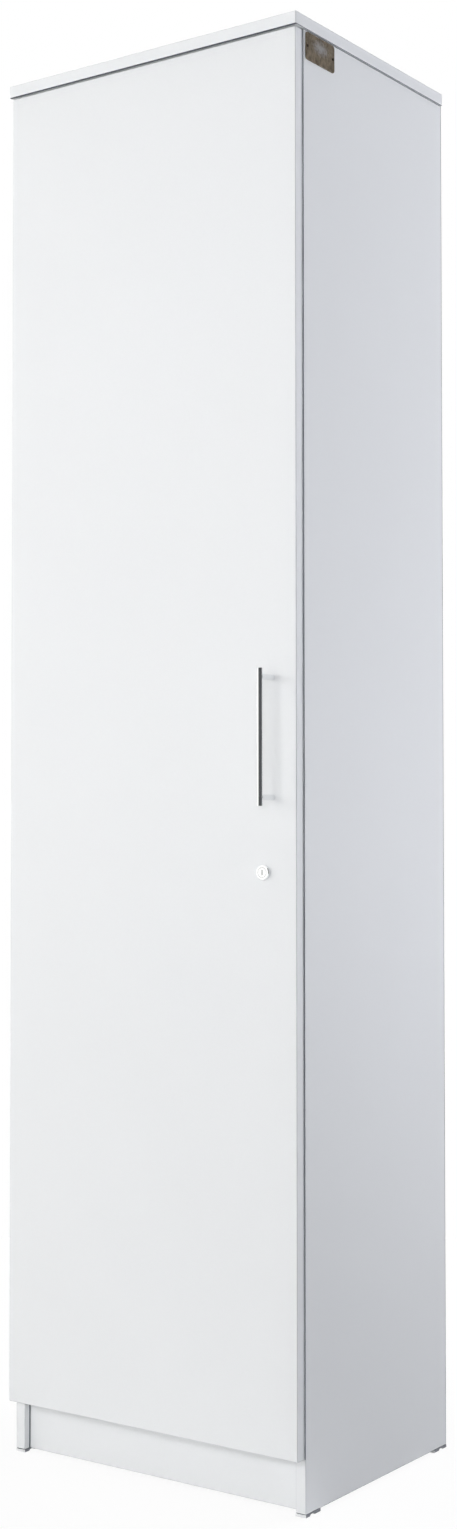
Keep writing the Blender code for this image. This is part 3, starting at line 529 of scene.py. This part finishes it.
def find_painted_shades(name, low, high, finish):
    """Corners of the boxes painted dark on a board: painted shade under the top panel, behind the door, at the
    plinth and along the floor, and dark lines on some rims.
    """
    if name == "top_panel":
        rim = low.z + finish.rim_painted_shade
        end = high.z - finish.end_line_and_shade
        # Painted shade under the top panel's front over the door and along its lower rims, and dark lines on
        # its upper rims
        return grow_boxes((low, (high.x, low.y + finish.top_painted_shade, rim)),
                          (low, (low.x + finish.rim_painted_shade, high.y, rim)),
                          ((high.x - finish.rim_painted_shade, low.y, low.z), (high.x, high.y, rim)),
                          ((low.x, low.y, end), (low.x, high.y, high.z)),
                          ((high.x, low.y, end), high))
    if name == "door":
        # Painted shade on the door's rear rim at its opening edge, where the side shades it
        return grow_boxes(((high.x, high.y - DARK_BOX_OVER, low.z), high))
    if name not in ("left_side", "right_side"):
        return []
    door_low, door_high = low_high("door")
    plinth_low, plinth_high = low_high("plinth")
    if name == "right_side":
        inner, outer, edge = low.x, high.x, high.x - finish.door_painted_shade
    else:
        inner, outer, edge = high.x, low.x, low.x
    # Painted shade under the top panel, behind the door and in front of the plinth; along the floor a dark
    # line with painted contact shade; dark lines on the outer front and rear rims
    return grow_boxes(((low.x, low.y, high.z - finish.side_painted_shade), high),
                      ((edge, low.y, door_low.z), (edge + finish.door_painted_shade, low.y, door_high.z)),
                      ((inner, plinth_low.y - finish.corner_painted_shade, low.z),
                       (inner, plinth_low.y, plinth_high.z)),
                      (low, (high.x, high.y, low.z + finish.end_line_and_shade)),
                      ((outer, low.y, low.z), (outer, low.y + DARK_BOX_OVER, door_low.z)),
                      ((outer, high.y - finish.rear_line, low.z), (outer, high.y, high.z)))


def make_laminate(name, low, high, band, shade_and_line_boxes, finish):
    """White board with its pebbled face, its edge band, the thin line between them, and painted shade at its
    joints with a few dark rim lines.
    """
    material, tree, shader, place = start_material(name, finish.laminate, LAMINATE_ROUGHNESS)
    size = list(high - low)
    thin = [float(length == min(size)) for length in size]
    line = place_group(tree, "Edging line", {"Vector": place, "Low": low, "High": high, "Thin": thin,
                                             "Width": finish.edging_line})
    faces = mix_colours(tree, line["Band"], finish.laminate, band)
    colour = mix_colours(tree, line["Mask"], faces, finish.edging)
    # Each box paints the shade of a joint, or a dark rim line, into the colour
    for first, last in shade_and_line_boxes:
        joint = place_group(tree, "Painted joint shade", {"Vector": place, "From": first, "To": last})
        colour = mix_colours(tree, joint["Mask"], colour, finish.seam)
    pebble_face(tree, shader, place, colour, LAMINATE_ROUGHNESS, finish.pebble, LAMINATE_RELIEF)
    return material


def make_hardboard(name, low, high, finish):
    """Thin board, lacquered white inside and on its edge, raw fibre on its rear face."""
    material, tree, shader, place = start_material(name, finish.hardboard, HARDBOARD_ROUGHNESS)
    thickness = high.y - low.y
    raw = (high.y - thickness * HARDBOARD_RAW_FROM, high.y - thickness * HARDBOARD_RAW_FULL)
    rear = remap(tree, split(tree, place)["Y"], raw, (0.0, 1.0))
    fibres = noise(tree, place, FIBRE_SCALE, FIBRE_DETAIL)
    patches = noise(tree, place, FIBRE_PATCH_SCALE, FIBRE_PATCH_DETAIL)
    mottle = maths(tree, "ADD", maths(tree, "MULTIPLY", fibres, FIBRE_TONE_SHARE),
                   maths(tree, "MULTIPLY", patches, FIBRE_PATCH_TONE_SHARE))
    colour = mix_colours(tree, rear, finish.hardboard, finish.fibre)
    shade(tree, shader, colour, maths(tree, "ADD", FIBRE_LEAST_TONE, mottle))
    bump(tree, shader, fibres, FIBRE_RELIEF)
    return material


def make_metal(name, colour, roughness, marks, spread, depth):
    """A metal with fine marks: marks gives how many run along each axis in a metre."""
    material, tree, shader, place = start_material(name, colour, roughness, 1.0)
    drawn = place_group(tree, "Drawn metal", {"Vector": place, "Marks": marks, "Roughness": roughness,
                                              "Spread": spread})
    shade(tree, shader, colour, drawn["Tone"])
    tree.links.new(drawn["Roughness"], shader.inputs["Roughness"])
    bump(tree, shader, drawn["Height"], depth)
    return material


def get_zinc(finish):
    """The zinc that pins, lock, screws and nails share, made once."""
    return bpy.data.materials.get("bright_zinc") or make_metal("bright_zinc", finish.zinc, *ZINC_LOOK)


def make_bronze(name, middle, reach, finish):
    """Aged bronze, streaked down its face and rubbed lighter towards the middle."""
    material, tree, shader, place = start_material(name, finish.bronze, BRONZE_ROUGHNESS, BRONZE_METALLIC)
    grain = noise(tree, place, BRONZE_GRAIN_SCALE, BRONZE_GRAIN_DETAIL, Roughness=BRONZE_GRAIN_SHARPNESS)
    patches = noise(tree, place, BRONZE_PATCH_SCALE, BRONZE_PATCH_DETAIL)
    drawn = vector_maths(tree, "MULTIPLY", place, BRONZE_STREAKS)
    streaks = noise(tree, drawn, 1.0, BRONZE_STREAK_DETAIL)
    mottle = maths(tree, "MULTIPLY", maths(tree, "ADD", grain, streaks), patches)
    rubbed = remap(tree, mottle, BRONZE_RUBBED, (0.0, 1.0))
    aged = mix_colours(tree, rubbed, finish.bronze, finish.bronze_light)
    offset = vector_maths(tree, "MULTIPLY", vector_maths(tree, "SUBTRACT", place, middle), WORN_STRETCH)
    away = maths(tree, "DIVIDE", vector_maths(tree, "LENGTH", offset), reach)
    ragged = maths(tree, "ADD", away, maths(tree, "SUBTRACT", NOISE_MEAN, grain))
    worn = remap(tree, ragged, WORN_FADE, (WORN_MOST, 0.0))
    tree.links.new(mix_colours(tree, worn, aged, finish.bronze_worn), shader.inputs["Base Color"])
    tree.links.new(remap(tree, mottle, NOISE_SPAN, BRONZE_ROUGHNESSES), shader.inputs["Roughness"])
    bump(tree, shader, grain, BRONZE_RELIEF)
    return material


def make_plastic(name, colour, roughness, pebble, relief):
    """Moulded plastic with a faint spark-eroded grain."""
    material, tree, shader, place = start_material(name, colour, roughness)
    pebble_face(tree, shader, place, colour, roughness, pebble, relief)
    return material


def make_foot_with_painted_shade(name, front, finish):
    """White moulded plastic, painted grey all over but its front end: painted shade on the glide."""
    material, tree, shader, place = start_material(name, finish.plastic, FOOT_LOOK[0])
    unshaded_front = remap(tree, split(tree, place)["Y"], [front + depth for depth in FRONT_SHADE_FADE], (1.0, 0.0))
    colour = mix_colours(tree, unshaded_front, finish.plastic, finish.unshaded_front)
    pebble_face(tree, shader, place, colour, *FOOT_LOOK)
    return material


def give(obj, material):
    obj.data.materials.clear()
    obj.data.materials.append(material)


# Small pieces

def place_mesh(work, name):
    """An object at the origin, its place in its mesh."""
    mesh = bpy.data.meshes.new(name)
    work.to_mesh(mesh)
    work.free()
    made = bpy.data.objects.new(name, mesh)
    bpy.context.scene.collection.objects.link(made)
    return made


def finish_piece(work, name, body, material):
    """A shaded piece from a bmesh, riding on its body."""
    bmesh.ops.recalc_face_normals(work, faces=work.faces)
    piece = place_mesh(work, name)
    piece.data.shade_smooth()
    piece.data.set_sharp_from_angle(angle=SHARP_ANGLE)
    give(piece, material)
    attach(piece, body)


def aim(place, way):
    """The matrix that stands a piece made along +Z on a place, pointing another way."""
    return Matrix.Translation(place) @ Vector((0, 0, 1)).rotation_difference(Vector(way)).to_matrix().to_4x4()


def find_edges(verts):
    """The edges at some vertices, each once and in the same order on each run."""
    return list(dict.fromkeys(edge for vert in verts for edge in vert.link_edges))


def add_disc(work, radius, rise, rounding, steps, place, way):
    """A disc that stands on a face, its upper rim rounded."""
    verts = bmesh.ops.create_cone(work, cap_ends=True, segments=steps, radius1=radius, radius2=radius,
                                  depth=rise)["verts"]
    bmesh.ops.translate(work, vec=(0, 0, rise / 2), verts=verts)
    rim = [edge for edge in find_edges(verts) if all(vert.co.z > rise / 2 for vert in edge.verts)]
    rounded = bmesh.ops.bevel(work, geom=rim, offset=rounding, offset_type="OFFSET", segments=ROUNDING_STEPS,
                              profile=0.5, affect="EDGES", material=-1, clamp_overlap=True)
    made = {vert for vert in verts if vert.is_valid} | set(rounded["verts"])
    bmesh.ops.transform(work, matrix=aim(place, way), verts=list(made))


def grow(work, edges, size, rise):
    """Extrudes a ring of edges, scaled in its plane and raised; returns the new ring."""
    made = bmesh.ops.extrude_edge_only(work, edges=edges)["geom"]
    verts = [item for item in made if isinstance(item, bmesh.types.BMVert)]
    bmesh.ops.scale(work, vec=(size, size, 1.0), verts=verts)
    bmesh.ops.translate(work, vec=(0, 0, rise), verts=verts)
    ring = set(verts)
    return [edge for edge in find_edges(verts) if set(edge.verts) <= ring]


def grow_rings(work, radius, rise, rings, steps):
    """A ring of edges, grown up ring by ring; returns the last."""
    made = bmesh.ops.create_circle(work, segments=steps, radius=radius)["verts"]
    rim = find_edges(made)
    for size, share in rings:
        rim = grow(work, rim, size, rise * share)
    return rim


def add_screw_head(work, radius, rise, steps, place, way):
    """A pan head with a cross recess pressed into its top."""
    before = set(work.verts)
    rim = grow_rings(work, radius, rise, SCREW_RINGS, steps)
    cross = bmesh.ops.create_circle(work, segments=CROSS_POINTS, radius=radius * CROSS_REACH)["verts"]
    half_step = Matrix.Rotation(math.pi / CROSS_POINTS, 3, "Z")
    bmesh.ops.rotate(work, cent=(0, 0, 0), matrix=half_step, verts=cross)
    corners = [vert for vert in cross if abs(abs(vert.co.x) - abs(vert.co.y)) < radius * CROSS_TOLERANCE]
    bmesh.ops.scale(work, vec=(CROSS_DRAWN_IN, CROSS_DRAWN_IN, 1.0), verts=corners)
    bmesh.ops.translate(work, vec=(0, 0, rise), verts=cross)
    opening = find_edges(cross)
    bmesh.ops.triangle_fill(work, use_beauty=True, edges=rim + opening)
    foot = grow(work, opening, CROSS_TAPER, -rise * CROSS_DEPTH)
    bmesh.ops.contextual_create(work, geom=foot)
    bmesh.ops.transform(work, matrix=aim(place, way), verts=[v for v in work.verts if v not in before])


def add_nail_head(work, place, way):
    """A low dome, left open where it meets the board."""
    before = set(work.verts)
    rim = grow_rings(work, NAIL_RADIUS, NAIL_RISE, NAIL_RINGS, NAIL_STEPS)
    bmesh.ops.contextual_create(work, geom=rim)
    bmesh.ops.transform(work, matrix=aim(place, way), verts=[v for v in work.verts if v not in before])


# Operators

class WARDROBE_OT_finish_boards(bpy.types.Operator):
    """Give every board its own white laminate, and the back panel its hardboard"""
    bl_idname = "wardrobe.finish_boards"
    bl_label = "Finish boards"

    def execute(self, context):
        make_groups()
        finish = context.scene.wardrobe_finish
        for name in BOARDS:
            low, high = low_high(name)
            # Only the door gets the lighter band, painted so its end strip shows as bright as the side
            band = finish.band if name == "door" else finish.laminate
            shade_and_line_boxes = find_painted_shades(name, low, high, finish)
            give(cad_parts[name], make_laminate("laminate_" + name, low, high, band, shade_and_line_boxes, finish))
        low, high = low_high("back_panel")
        give(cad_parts["back_panel"], make_hardboard("lacquered_hardboard", low, high, finish))
        return {"FINISHED"}


class WARDROBE_OT_finish_fittings(bpy.types.Operator):
    """Give the handle, rail, lock, hinges, supports, feet and buffers their metals and plastics"""
    bl_idname = "wardrobe.finish_fittings"
    bl_label = "Finish fittings"

    def execute(self, context):
        make_groups()
        finish = context.scene.wardrobe_finish
        groups = ((NICKEL_PARTS, make_metal("pressed_nickel", finish.nickel, *NICKEL_LOOK)),
                  (ZINC_PARTS, get_zinc(finish)),
                  (CHROME_PARTS, make_metal("polished_chrome", finish.chrome, *CHROME_LOOK)),
                  (BUFFER_PARTS, make_plastic("soft_buffer", finish.rubber, *BUFFER_LOOK)))
        for parts, material in groups:
            for name in node_names(parts):
                give(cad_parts[name], material)
        # Each glide gets painted shade over all but its white front end
        for name in node_names(FOOT_PARTS):
            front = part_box(name)[0][1]
            give(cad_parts[name], make_foot_with_painted_shade("moulded_" + name, front, finish))
        return {"FINISHED"}


class WARDROBE_OT_add_plate(bpy.types.Operator):
    """Pin the bare bronze plate to the right side, just under the top"""
    bl_idname = "wardrobe.add_plate"
    bl_label = "Add bare plate"

    def execute(self, context):
        make_groups()
        sizes = context.scene.wardrobe_fittings
        finish = context.scene.wardrobe_finish
        low, high = low_high("right_side")
        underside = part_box("top_panel")[0][2]
        front = low.y + sizes.plate_setback
        top = underside - sizes.plate_drop
        size = Vector((sizes.plate_thickness, sizes.plate_width, sizes.plate_height))
        middle = Vector((high.x + size.x / 2, front + size.y / 2, top - size.z / 2))
        work = bmesh.new()
        verts = bmesh.ops.create_cube(work, size=1.0)["verts"]
        bmesh.ops.scale(work, vec=size, verts=verts)
        bmesh.ops.translate(work, vec=middle, verts=verts)
        corners = [edge for edge in work.edges if abs((edge.verts[0].co - edge.verts[1].co).x) > size.x / 2]
        bmesh.ops.bevel(work, geom=corners, offset=sizes.plate_round, offset_type="OFFSET",
                        segments=PLATE_CORNER_STEPS, profile=0.5, affect="EDGES", material=-1)
        face = max(work.faces, key=lambda item: item.calc_center_median().x)
        bmesh.ops.bevel(work, geom=list(face.edges), offset=size.x * PLATE_RIM, offset_type="OFFSET",
                        segments=PLATE_RIM_STEPS, profile=0.5, affect="EDGES", material=-1)
        face = max(work.faces, key=lambda item: (round(item.calc_center_median().x, MICROMETRE_DIGITS),
                                                 item.calc_area()))
        bmesh.ops.inset_region(work, faces=[face], thickness=size.x * PLATE_BORDER, depth=0.0,
                               use_even_offset=True)
        bmesh.ops.inset_region(work, faces=[face], thickness=size.x * PLATE_STEP,
                               depth=-size.x * PLATE_SUNK, use_even_offset=True)
        worn = middle + Vector((0, 0, size.z * WORN_RAISE))
        finish_piece(work, "bare_plate", "carcass",
                     make_bronze("aged_bronze", worn, size.z / 2, finish))
        pins = bmesh.new()
        for end in BOTH:
            place = middle + Vector((size.x * PIN_BASE, end * (size.y / 2 - sizes.pin_radius * PIN_INSET), 0))
            add_disc(pins, sizes.pin_radius, size.x * PIN_RISE, size.x * PIN_ROUNDING, PIN_STEPS, place,
                     (1, 0, 0))
        dark = tuple(value * DARK_PIN_SHARE for value in finish.bronze)
        finish_piece(pins, "bare_plate_pins", "carcass",
                     make_metal("dark_pin", dark, *DARK_PIN_LOOK))
        return {"FINISHED"}


class WARDROBE_OT_add_screws(bpy.types.Operator):
    """Put the screw heads on the hinges, lock, strike and rail brackets"""
    bl_idname = "wardrobe.add_screws"
    bl_label = "Add screw heads"

    def execute(self, context):
        make_groups()
        sizes = context.scene.wardrobe_fittings
        large, small = sizes.screw_radius, sizes.small_screw_radius
        on_carcass = bmesh.new()
        on_door = bmesh.new()

        def add_head(work, radius, place, way):
            add_screw_head(work, radius, sizes.screw_rise, sizes.round_steps // 2, place, way)

        cup_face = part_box("door")[1][1] + CUP_FACE
        for number in HINGES:
            low, high = low_high(f"hinge_{number}_mounting_plate")
            middle = (low + high) / 2
            for end in BOTH:
                height = middle.z + end * PLATE_SCREW_SPREAD
                place = (low.x + PLATE_FACE, middle.y - PLATE_SCREW_SHIFT, height)
                add_head(on_carcass, large, place, (1, 0, 0))
            low, high = low_high(f"hinge_{number}_arm")
            for setback in ARM_SCREWS:
                add_head(on_carcass, large, (low.x + ARM_FACE, high.y - setback, middle.z), (1, 0, 0))
            low, high = low_high(f"hinge_{number}_cup")
            for end in BOTH:
                place = (high.x - CUP_SCREW_INSET, cup_face, middle.z + end * CUP_SCREW_SPREAD)
                add_head(on_door, large, place, (0, 1, 0))
        low, high = low_high("lock_case")
        for x in (low.x + LOCK_SCREW_INSET, high.x - LOCK_SCREW_INSET):
            for z in (low.z + LOCK_SCREW_INSET, high.z - LOCK_SCREW_INSET):
                add_head(on_door, small, (x, high.y, z), (0, 1, 0))
        low, high = low_high("lock_strike")
        for end in BOTH:
            height = (low.z + high.z) / 2 + end * STRIKE_SCREW_SPREAD
            place = (high.x - STRIKE_FACE, low.y + STRIKE_SCREW_SETBACK, height)
            add_head(on_carcass, small, place, (-1, 0, 0))
        for bracket in ("front", "back"):
            low, high = low_high("rail_bracket_" + bracket)
            for end in BOTH:
                place = (end * BRACKET_SCREW_SPREAD, (low.y + high.y) / 2, high.z - BRACKET_FACE)
                add_head(on_carcass, small, place, (0, 0, -1))
        zinc = get_zinc(context.scene.wardrobe_finish)
        finish_piece(on_carcass, "carcass_screw_heads", "carcass", zinc)
        finish_piece(on_door, "door_screw_heads", "door", zinc)
        return {"FINISHED"}


class WARDROBE_OT_add_caps(bpy.types.Operator):
    """Press the white covers over the cams that hold the boards together"""
    bl_idname = "wardrobe.add_caps"
    bl_label = "Add cam caps"

    def execute(self, context):
        make_groups()
        sizes = context.scene.wardrobe_fittings
        inset = sizes.cam_inset
        work = bmesh.new()

        def add_cap(place, way):
            add_disc(work, sizes.cap_radius, sizes.cap_rise, sizes.cap_rise * CAP_ROUNDING,
                     sizes.round_steps, place, way)

        low, high = low_high("left_side")
        inner = -high.x
        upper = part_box("top_panel")[0][2] - inset
        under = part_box("bottom_panel")[0][2]
        for y in (low.y + CAM_SETBACK, high.y - CAM_SETBACK):
            for side in BOTH:
                add_cap((side * inner, y, upper), (-side, 0, 0))
                add_cap((side * (inner - inset), y, under), (0, 0, -1))
        low, high = low_high("plinth")
        for side in BOTH:
            add_cap((side * (inner - inset), high.y, (low.z + high.z) / 2), (0, 1, 0))
        cap = make_plastic("white_cap", context.scene.wardrobe_finish.cap, *CAP_LOOK)
        finish_piece(work, "cam_caps", "carcass", cap)
        return {"FINISHED"}


class WARDROBE_OT_add_nails(bpy.types.Operator):
    """Nail the back panel to the carcass all round"""
    bl_idname = "wardrobe.add_nails"
    bl_label = "Add back nails"

    def execute(self, context):
        make_groups()
        low, high = low_high("back_panel")
        across = high.x - NAIL_INSET
        bottom, top = low.z + NAIL_INSET, high.z - NAIL_INSET
        rows = round((top - bottom) / NAIL_SPACING)
        columns = round(2 * across / NAIL_SPACING)
        places = [(side * across, bottom + (top - bottom) * i / rows)
                  for i in range(rows + 1) for side in BOTH]
        places += [(-across + 2 * across * i / columns, z)
                   for i in range(1, columns) for z in (bottom, top)]
        work = bmesh.new()
        for x, z in places:
            add_nail_head(work, (x, high.y, z), (0, 1, 0))
        zinc = get_zinc(context.scene.wardrobe_finish)
        finish_piece(work, "back_nails", "carcass", zinc)
        return {"FINISHED"}


class WARDROBE_OT_add_studio(bpy.types.Operator):
    """Set the pale floor, the ring of soft light screens, the white surround and the photograph's camera"""
    bl_idname = "wardrobe.add_studio"
    bl_label = "Add studio"

    def execute(self, context):
        studio = context.scene.wardrobe_studio
        add_floor(studio)
        add_sky(context.scene)
        add_screens(studio)
        add_ceiling(studio)
        context.scene.camera = add_camera()
        context.scene.view_settings.view_transform = "Standard"
        return {"FINISHED"}


# Studio

def seen_mask(tree):
    """One for the rays that show the background: from the camera, off gloss and through glass."""
    path = add_node(tree, "ShaderNodeLightPath").outputs
    either = maths(tree, "MAXIMUM", path["Is Camera Ray"], path["Is Glossy Ray"])
    return maths(tree, "MAXIMUM", either, path["Is Transmission Ray"])


def add_floor(studio):
    """A wide pale floor: white where it is seen, but for the wardrobe's faint shadow."""
    material, tree = start_studio_material("studio_floor")
    paint = (FLOOR_PAINT, FLOOR_PAINT, FLOOR_PAINT, 1.0)
    lit = add_node(tree, "ShaderNodeBsdfDiffuse", {"Color": paint}).outputs[0]
    white = add_node(tree, "ShaderNodeEmission", {"Color": (1, 1, 1, 1), "Strength": 1.0}).outputs[0]
    place = add_node(tree, "ShaderNodeTexCoord").outputs["Object"]
    away = vector_maths(tree, "LENGTH", place)
    across, depth, _ = split(tree, place)
    beside = maths(tree, "MAXIMUM", remap(tree, depth, FLOOR_BEHIND, (0.0, 1.0)),
                   remap(tree, across, FLOOR_BESIDE, (0.0, 1.0)))
    grey = remap(tree, beside, (0.0, 1.0), (studio.floor_shade, studio.floor_shade_beside))
    bouncing = add_node(tree, "ShaderNodeBsdfDiffuse", {"Color": grey}).outputs[0]
    shown = mix_shaders(tree, remap(tree, away, FLOOR_FADE, (studio.floor_white, 1.0)), lit, white)
    surface = mix_shaders(tree, seen_mask(tree), bouncing, shown)
    add_node(tree, "ShaderNodeOutputMaterial", {"Surface": surface})
    work = bmesh.new()
    bmesh.ops.create_grid(work, x_segments=1, y_segments=1, size=studio.floor_size)
    bmesh.ops.translate(work, vec=(0, 0, -FLOOR_GAP), verts=work.verts)
    floor = place_mesh(work, "studio_floor")
    give(floor, material)


def add_screens(studio):
    """Three rows of upright curved screens round the wardrobe, from its left to its back right."""
    rows = (("low_screen", 0.0, studio.screen_low, studio.low_cast),
            ("middle_screen", studio.screen_low, studio.screen_high, studio.middle_cast),
            ("high_screen", studio.screen_high, studio.screen_height, studio.high_cast))
    for name, low, high, casts in rows:
        for start, end, cast in zip(SCREEN_TURNS, SCREEN_TURNS[1:], casts):
            seen = studio.bright_seen if end <= BRIGHT_SEEN_TO else studio.dark_seen
            colour = studio.left_colour if end <= LEFT_COLOUR_TO else studio.right_colour
            add_screen(name, studio.screen_radius, (start, end), (low, high), colour, seen, cast)


def add_screen(name, radius, turns, heights, colour, seen, cast):
    """One curved screen, spun between its two turns."""
    work = bmesh.new()
    verts = [work.verts.new((0, -radius, z)) for z in heights]
    edge = work.edges.new(verts)
    start, end = (math.radians(turn) for turn in turns)
    bmesh.ops.rotate(work, cent=(0, 0, 0), matrix=Matrix.Rotation(start, 3, "Z"), verts=verts)
    bmesh.ops.spin(work, geom=verts + [edge], cent=(0, 0, 0), axis=(0, 0, 1), angle=end - start,
                   steps=SCREEN_STEPS, use_merge=False)
    hang_screen(name, work, colour, seen, cast)


def add_ceiling(studio):
    """A round screen overhead, for the top panel."""
    work = bmesh.new()
    bmesh.ops.create_circle(work, cap_ends=True, segments=CEILING_STEPS, radius=studio.ceiling_radius,
                            matrix=Matrix.Translation((0, 0, studio.screen_height)))
    hang_screen("ceiling_screen", work, studio.left_colour, studio.bright_seen, studio.ceiling_cast)


def hang_screen(name, work, colour, seen, cast):
    """Gives a screen its two strengths: how bright the fittings' gloss shows it, and the light it casts."""
    material, tree = start_studio_material(name)
    gloss = add_node(tree, "ShaderNodeLightPath").outputs["Is Glossy Ray"]
    strength = remap(tree, gloss, (0.0, 1.0), (cast, seen))
    glow = add_node(tree, "ShaderNodeEmission", {"Color": (*colour, 1.0), "Strength": strength}).outputs[0]
    add_node(tree, "ShaderNodeOutputMaterial", {"Surface": glow})
    screen = place_mesh(work, name)
    give(screen, material)
    screen.visible_camera = False
    screen.visible_shadow = False
    screen.visible_transmission = False
    screen.visible_volume_scatter = False


def add_sky(scene):
    """Plain white where it is seen; the screens give the light."""
    world = bpy.data.worlds.new("studio_sky")
    world.use_nodes = True
    tree = world.node_tree
    tree.nodes.clear()
    white = add_node(tree, "ShaderNodeBackground", {"Color": (1, 1, 1, 1), "Strength": seen_mask(tree)})
    add_node(tree, "ShaderNodeOutputWorld", {"Surface": white.outputs[0]})
    scene.world = world


def add_camera():
    """The photograph's camera, placed from the right side's front edge."""
    data = bpy.data.cameras.new("photo_camera")
    data.sensor_fit = "AUTO"
    data.sensor_width = SENSOR_MM
    data.lens = FOCAL_LENGTH_PX * SENSOR_MM / PHOTO_HEIGHT_PX
    data.shift_x = (PHOTO_WIDTH_PX / 2 - AXIS_ACROSS_PX) / PHOTO_HEIGHT_PX
    data.shift_y = (AXIS_DOWN_PX - PHOTO_HEIGHT_PX / 2) / PHOTO_HEIGHT_PX
    data.clip_start = CLIP_START
    camera = bpy.data.objects.new("photo_camera", data)
    bpy.context.scene.collection.objects.link(camera)
    camera.location = CAMERA_FROM_SIDE_FRONT + Vector((0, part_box("right_side")[0][1], 0))
    camera.rotation_euler = (math.pi / 2 + CAMERA_PITCH, 0, CAMERA_YAW)
    return camera


# Panel and registration

OPERATORS = (WARDROBE_OT_finish_boards, WARDROBE_OT_finish_fittings, WARDROBE_OT_add_plate,
             WARDROBE_OT_add_screws, WARDROBE_OT_add_caps, WARDROBE_OT_add_nails, WARDROBE_OT_add_studio)


class WARDROBE_PT_looks(bpy.types.Panel):
    """Lists the steps that dress the wardrobe"""
    bl_idname = "WARDROBE_PT_looks"
    bl_label = "Wardrobe"
    bl_space_type = "VIEW_3D"
    bl_region_type = "UI"
    bl_category = "Wardrobe"

    def draw(self, context):
        for operator in OPERATORS:
            self.layout.operator(operator.bl_idname)


CLASSES = (WardrobeFinish, WardrobeFittings, WardrobeStudio, *OPERATORS, WARDROBE_PT_looks)


def register():
    for item in CLASSES:
        bpy.utils.register_class(item)
    bpy.types.Scene.wardrobe_finish = PointerProperty(type=WardrobeFinish)
    bpy.types.Scene.wardrobe_fittings = PointerProperty(type=WardrobeFittings)
    bpy.types.Scene.wardrobe_studio = PointerProperty(type=WardrobeStudio)


def unregister():
    del bpy.types.Scene.wardrobe_studio
    del bpy.types.Scene.wardrobe_fittings
    del bpy.types.Scene.wardrobe_finish
    for item in reversed(CLASSES):
        bpy.utils.unregister_class(item)


def main():
    register()
    bpy.ops.wardrobe.finish_boards()
    bpy.ops.wardrobe.finish_fittings()
    bpy.ops.wardrobe.add_plate()
    bpy.ops.wardrobe.add_screws()
    bpy.ops.wardrobe.add_caps()
    bpy.ops.wardrobe.add_nails()
    bpy.ops.wardrobe.add_studio()


if __name__ == "__main__":
    main()
